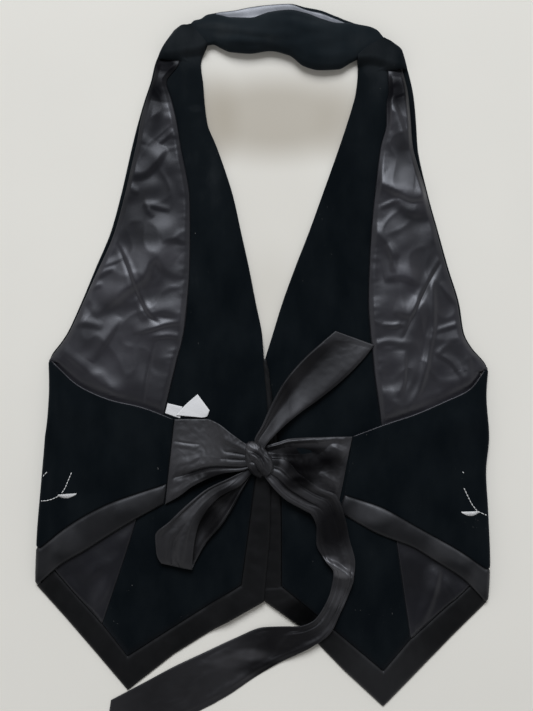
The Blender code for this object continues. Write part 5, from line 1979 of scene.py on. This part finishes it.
@dataclass
class Neckband:
    """The velvet band behind the neck, folded on itself, and its satin at the top."""

    wardrobe: Wardrobe
    turn_share: float = 0.3
    leaf_share: float = 0.6
    creases: tuple[Crease, ...] = rows_of(
        Crease,
        (((-0.068, 0.344), (-0.04, 0.338), (-0.01, 0.334), (0.022, 0.33)), 0.0016, 0.004, 0.003),
        (((-0.052, 0.332), (-0.028, 0.326), (0.004, 0.324), (0.03, 0.32)), 0.0012, 0.003, 0.003),
        (((0.02, 0.346), (0.046, 0.338), (0.07, 0.334)), 0.0016, 0.006, 0.005),
        (((-0.07, 0.344), (-0.056, 0.344), (-0.038, 0.341)), 0.0012, 0.003, 0.003),
    )

    def section(self, x: Array, share: Array) -> Array:
        """The inside of the band: along the surface, round the neck edge, and back on top.

        Args:
            x: Places along X.
            share: Places round the section.

        Returns:
            Its points.
        """
        top, leaf, neck, floor, puff, ends = neck_cut(x)
        roll = neck_roll(puff, ends)
        low = floor + VELVET
        inner = neck + VELVET + roll
        round_share = (share - self.turn_share) / (self.leaf_share - self.turn_share)
        angle = math.pi * np.clip(round_share, 0.0, 1.0)
        part = np.clip((share - self.leaf_share) / (1.0 - self.leaf_share), 0.0, 1.0)
        swell = np.sin(math.pi * part) * 0.35 * puff * mix(0.25, 1.0, ends)
        room = 2.0 * roll - VELVET - SATIN - 2.0 * SEAM - 0.002
        drop = part * part * np.maximum(0.0, room)
        flat = share < self.turn_share
        on_top = share >= self.leaf_share
        y = mix(top, inner, share / self.turn_share)
        y = np.where(flat, y, inner - roll * np.sin(angle))
        y = np.where(on_top, mix(inner, leaf, part), y)
        z = np.where(flat, low, low + roll - roll * np.cos(angle))
        z = np.where(on_top, low + 2.0 * roll + swell - drop, z)
        shown = smoothstep((share - 0.5) / 0.16) * smoothstep((1.02 - share) / 0.08)
        relief = creased(self.creases, x, y) + 0.001 * (1.0 + crumple(0.4 * x, y, 0.011, 61))
        relief = mix(0.3, 1.0, ends) * (relief + 0.001 * (1.0 + crumple(x, y, 0.022, 67)))
        return stacked(x, y, z + shown * relief)

    def build(self) -> None:
        """Makes the band and its satin."""
        first, last = NECK_CUTS[0].x, NECK_CUTS[-1].x

        def velvet(u: Array, v: Array) -> Array:
            """The band's inside."""
            return self.section(mix(first, last, u), v)

        def satin(u: Array, v: Array) -> Array:
            """The satin, which slopes up under the leaf."""
            x = mix(first + 0.05, last - 0.046, u)
            top, leaf, _, floor, _, _ = neck_cut(x)
            rim = 0.0006 + 0.0026 * smoothstep((x - 0.022) / 0.03)
            y = mix(leaf - 0.008, top - rim, v)
            rise = 0.0036 * smoothstep((1.0 - v) * 1.35)
            wave = 0.0005 * lumps(x, 0.5 * y, 0.008, 71)
            return stacked(x, y, floor + VELVET + SEAM + rise + wave)

        band = Piece("velvet_neckband", "neckband", "velvet", Held.FOLDED, BOTH_FRONTS)
        Cutter.sheet(band, (240, 110), velvet, VELVET, self.wardrobe.brushed_velvet, 0.002)
        inner = Piece("satin_neckband", "neckband_lining", "satin", Held.LAID, ("neckband",))
        Cutter.sheet(inner, (180, 24), satin, SATIN, self.wardrobe.neck_satin, 0.0008)


@dataclass
class CareLabel:
    """The two leaves of the care label, which come out from under the back panel."""

    wardrobe: Wardrobe
    back_rows: tuple[Row, ...] = rows_of(
        Row,
        ((-0.0965, -0.042), (-0.0815, -0.0472), 0.0002),
        ((-0.094, -0.032), (-0.079, -0.0355), 0.0006),
    )
    front_rows: tuple[Row, ...] = rows_of(
        Row,
        ((-0.0855, -0.044), (-0.059, -0.0462), 0.0018),
        ((-0.076, -0.0335), (-0.055, -0.0455), 0.0019),
        ((-0.064, -0.023), (-0.052, -0.039), 0.002),
    )

    def build(self) -> None:
        """Makes both leaves."""
        leaves = (("care_label_back", self.back_rows), ("care_label_front", self.front_rows))
        for name, rows in leaves:
            curl = (Crease(((0.2, 0.95), (0.6, 0.9), (1.0, 0.7)), 0.0005, 0.3, 0.3),)
            leaf = Ribbon(rows, curl, opening_ground, REST, 0.0, -0.25, 0.0001, 53)
            piece = Piece(f"tape_{name}", name, "label", Held.LAID, ("front_left",))
            Cutter.sheet(piece, (36, 36), leaf.points, TAPE, self.wardrobe.tape, 0.0004)


@dataclass
class Twig:
    """A small embroidered twig: stems in back stitch, and a leaf in slanted satin stitch."""

    wardrobe: Wardrobe
    side: Side
    stems: tuple[tuple[Pair, ...], ...]
    leaf: tuple[Pair, Pair]
    leaf_width: float = 0.0032
    leaf_stitches: int = 19
    stitch: float = 0.0034
    gap: float = 0.2
    thread: float = 0.00036

    def ground(self) -> Array:
        """Points over the back panel, to find its height by."""
        along, down = np.meshgrid(np.linspace(-FOLD_SHARE, 1.0, 400), np.linspace(0.0, 1.0, 160))
        points = self.side.turned(along.ravel(), down.ravel(), VELVET)
        return points[points[:, 2] > FOLD_RADIUS - VELVET]

    def one_stitch(self, start: Pair, end: Pair, ground: Array) -> None:
        """Adds one stitch: a short thread that dips into the cloth at both ends.

        Args:
            start: Where it starts.
            end: Where it ends.
            ground: Points over the cloth.
        """
        length = math.dist(start, end)
        middle = ((start[0] + end[0]) / 2, (start[1] + end[1]) / 2)
        bpy.ops.mesh.primitive_cylinder_add(vertices=8, radius=self.thread, depth=length)
        thread = bpy.context.object
        bpy.ops.object.mode_set(mode="EDIT")
        bpy.ops.mesh.select_all(action="SELECT")
        bpy.ops.transform.rotate(value=math.pi / 2, orient_axis="Y", center_override=(0, 0, 0))
        bpy.ops.object.mode_set(mode="OBJECT")
        held = points_of(thread)
        turn = math.atan2(end[1] - start[1], end[0] - start[0])
        x = middle[0] + held[:, 0] * math.cos(turn) - held[:, 1] * math.sin(turn)
        y = middle[1] + held[:, 0] * math.sin(turn) + held[:, 1] * math.cos(turn)
        near = np.argmin((ground[:, 0] - middle[0]) ** 2 + (ground[:, 1] - middle[1]) ** 2)
        tilt_x, tilt_y = self.tilt(ground, ground[near])
        flat = ground[near, 2] + (x - middle[0]) * tilt_x + (y - middle[1]) * tilt_y
        z = flat + VELVET + 0.6 * self.thread + held[:, 2]
        thread.data.vertices.foreach_set("co", stacked(x, y, z).ravel())

    @staticmethod
    def tilt(ground: Array, place: Array) -> Pair:
        """The slope of the cloth at a point.

        Args:
            ground: Points over the cloth.
            place: The point.

        Returns:
            The slopes along X and Y.
        """
        close = ground[np.hypot(ground[:, 0] - place[0], ground[:, 1] - place[1]) < 0.003]
        rel = close - place
        table = np.stack([rel[:, 0], rel[:, 1], np.ones(len(rel))], axis=1)
        slopes = np.linalg.lstsq(table, rel[:, 2], rcond=None)[0]
        return float(slopes[0]), float(slopes[1])

    def build(self) -> None:
        """Stitches the twig as one piece."""
        ground = self.ground()
        before = set(bpy.data.objects)
        for stem in self.stems:
            line_x, line_y = smooth_plan(stem, np.linspace(0, len(stem) - 1, 60))
            run = np.concatenate(([0.0], np.cumsum(np.hypot(np.diff(line_x), np.diff(line_y)))))
            count = max(1, round(float(run[-1]) / self.stitch))
            marks = np.linspace(0.0, run[-1], count + 1)
            xs, ys = np.interp(marks, run, line_x), np.interp(marks, run, line_y)
            for index in range(count):
                step = (xs[index + 1] - xs[index], ys[index + 1] - ys[index])
                first = (xs[index] + self.gap * step[0], ys[index] + self.gap * step[1])
                self.one_stitch(first, (xs[index + 1], ys[index + 1]), ground)
        (from_x, from_y), (to_x, to_y) = self.leaf
        length = math.dist(self.leaf[0], self.leaf[1])
        across_x, across_y = (from_y - to_y) / length, (to_x - from_x) / length
        if across_y > 0.0:
            across_x, across_y = -across_x, -across_y
        for share in np.linspace(0.03, 0.97, self.leaf_stitches):
            half = self.leaf_width * math.sin(math.pi * share) ** 0.8 + 0.0006
            x, y = mix(from_x, to_x, share), mix(from_y, to_y, share)
            slant = 0.0007 * (1.0 if to_x > from_x else -1.0)
            top = (x + slant, y + 0.0004)
            self.one_stitch(top, (x - slant + across_x * half, y + across_y * half), ground)
        threads = [thing for thing in bpy.data.objects if thing not in before]
        bpy.ops.object.select_all(action="DESELECT")
        for thread in threads:
            thread.select_set(True)
        bpy.context.view_layer.objects.active = threads[0]
        bpy.ops.object.join()
        twig = bpy.context.object
        twig.name = f"white_twig_{self.side.wearer.label}"
        bpy.ops.object.shade_smooth()
        Cutter.dress(twig, "velvet", self.wardrobe.white)
        log.info("%s: %d stitches", twig.name, len(threads))


@dataclass
class Buttons:
    """The buttons under the overlap of the front."""

    wardrobe: Wardrobe
    radius: float = 0.007
    thickness: float = 0.0022
    x: float = -0.008
    ys: tuple[float, ...] = (-0.063, -0.116, -0.169)

    def build(self) -> None:
        """Makes the buttons: discs with a raised rim round a dished face."""
        for number, y in enumerate(self.ys, start=1):
            bpy.ops.object.select_all(action="DESELECT")
            bpy.ops.mesh.primitive_cylinder_add(
                vertices=48,
                radius=self.radius,
                depth=self.thickness,
                location=(self.x, y, self.thickness / 2),
            )
            button = bpy.context.object
            button.name = f"front_button_{number}"
            bpy.ops.object.transform_apply(location=True, rotation=True, scale=True)
            bpy.ops.object.mode_set(mode="EDIT")
            bpy.ops.mesh.select_all(action="DESELECT")
            bpy.ops.object.mode_set(mode="OBJECT")
            for face in button.data.polygons:
                face.select = abs(face.normal.z) > 0.9
            bpy.ops.object.mode_set(mode="EDIT")
            bpy.ops.mesh.inset(thickness=0.0016)
            bpy.ops.mesh.inset(thickness=0.0006, depth=-0.0004)
            bpy.ops.object.mode_set(mode="OBJECT")
            bpy.ops.object.modifier_add(type="BEVEL")
            edge = button.modifiers[-1]
            edge.width = 0.0003
            edge.segments = 2
            bpy.ops.object.modifier_apply(modifier=edge.name)
            bpy.ops.object.shade_smooth()
            Cutter.dress(button, "button", self.wardrobe.button)
            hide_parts(f"button_{number}")
            log.info("front_button_%d", number)


@dataclass
class Studio:
    """The pale surface, the soft light and the camera."""

    look_at: Pair = (0.0045, 0.0155)
    height: float = 0.95
    frame_height: float = 0.711
    sensor: float = 24.0
    floor_z: float = -0.0004

    def build(self) -> None:
        """Makes the floor, the lights and the camera."""
        bpy.ops.object.select_all(action="DESELECT")
        bpy.ops.mesh.primitive_plane_add(size=6.0, location=(0.0, 0.0, self.floor_z))
        floor = bpy.context.object
        floor.name = "pale_floor"
        floor.data.materials.append(FloorFinish().material())
        self.room()
        self.lamp("window", (-0.25, 3.6, 4.1), 2.7, 262.0, (0.97, 0.985, 1.0))
        bpy.ops.object.camera_add(
            location=(self.look_at[0], self.look_at[1], self.height), rotation=(0.0, 0.0, 0.0)
        )
        camera = bpy.context.object
        camera.data.sensor_fit = "VERTICAL"
        camera.data.sensor_height = self.sensor
        camera.data.lens = self.sensor * self.height / self.frame_height
        camera.data.clip_start = 0.01
        bpy.context.scene.camera = camera
        bpy.context.scene.view_settings.view_transform = "Standard"

    @staticmethod
    def room() -> None:
        """Lights the room softly, more from its walls than from its ceiling."""
        world = bpy.data.worlds.new("soft room")
        world.use_nodes = True
        nodes, links = world.node_tree.nodes, world.node_tree.links
        way = nodes.new("ShaderNodeTexCoord")
        split = nodes.new("ShaderNodeSeparateXYZ")
        span = nodes.new("ShaderNodeMapRange")
        span.inputs["From Min"].default_value = 0.5
        span.inputs["From Max"].default_value = 0.95
        span.inputs["To Min"].default_value = 0.58
        span.inputs["To Max"].default_value = 0.05
        links.new(way.outputs["Generated"], split.inputs["Vector"])
        links.new(split.outputs["Z"], span.inputs["Value"])
        links.new(span.outputs["Result"], nodes["Background"].inputs["Strength"])
        nodes["Background"].inputs["Color"].default_value = (1.0, 0.985, 0.955, 1.0)
        bpy.context.scene.world = world

    @staticmethod
    def lamp(name: str, place: Triple, size: float, power: float, colour: Triple) -> None:
        """Adds a soft light that shines at the vest.

        Args:
            name: Its name.
            place: Where it stands.
            size: Its side.
            power: Its power in watts.
            colour: Its colour.
        """
        turn = Vector(place).to_track_quat("Z", "Y").to_euler()
        bpy.ops.object.light_add(type="AREA", location=place, rotation=turn)
        light = bpy.context.object
        light.name = name
        light.data.size = size
        light.data.energy = power
        light.data.color = colour


def main() -> None:
    """Loads the solids, builds the vest over them and sets the studio."""
    logging.basicConfig(level=logging.INFO, format="%(message)s")
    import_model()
    wardrobe = Wardrobe()
    left = Side(
        Wearer.LEFT,
        wardrobe,
        LEFT_STATIONS,
        LEFT_SIDE_FOLD,
        LEFT_BAND,
        LEFT_BACK,
        LEFT_LINING_FOLDS,
        LEFT_BACK_FOLDS,
        LEFT_LINING_CREASES,
        LEFT_VELVET_CREASES,
        (0.06, 0.255, 0.002),
        101,
    )
    right = Side(
        Wearer.RIGHT,
        wardrobe,
        RIGHT_STATIONS,
        RIGHT_SIDE_FOLD,
        RIGHT_BAND,
        RIGHT_BACK,
        RIGHT_LINING_FOLDS,
        RIGHT_BACK_FOLDS,
        RIGHT_LINING_CREASES,
        RIGHT_VELVET_CREASES,
        (0.18, 0.36, 0.0036),
        202,
    )
    left.build()
    right.build()
    Neckband(wardrobe).build()
    HalfBow(wardrobe).build()
    CareLabel(wardrobe).build()
    Buttons(wardrobe).build()
    Twig(
        wardrobe,
        left,
        (
            ((-0.2205, -0.1285), (-0.216, -0.1285), (-0.21, -0.1275), (-0.202, -0.124)),
            ((-0.1985, -0.121), (-0.195, -0.116), (-0.1925, -0.11), (-0.1885, -0.1005)),
            ((-0.218, -0.1055), (-0.216, -0.103), (-0.213, -0.1)),
        ),
        ((-0.202, -0.1225), (-0.184, -0.1215)),
    ).build()
    Twig(
        wardrobe,
        right,
        (
            ((0.2, -0.1155), (0.2035, -0.123), (0.208, -0.132), (0.213, -0.1385)),
            ((0.213, -0.1385), (0.2185, -0.141), (0.2235, -0.143)),
            ((0.1985, -0.0995), (0.2, -0.101)),
        ),
        ((0.214, -0.139), (0.1975, -0.1395)),
    ).build()
    Studio().build()


if __name__ == "__main__":
    main()
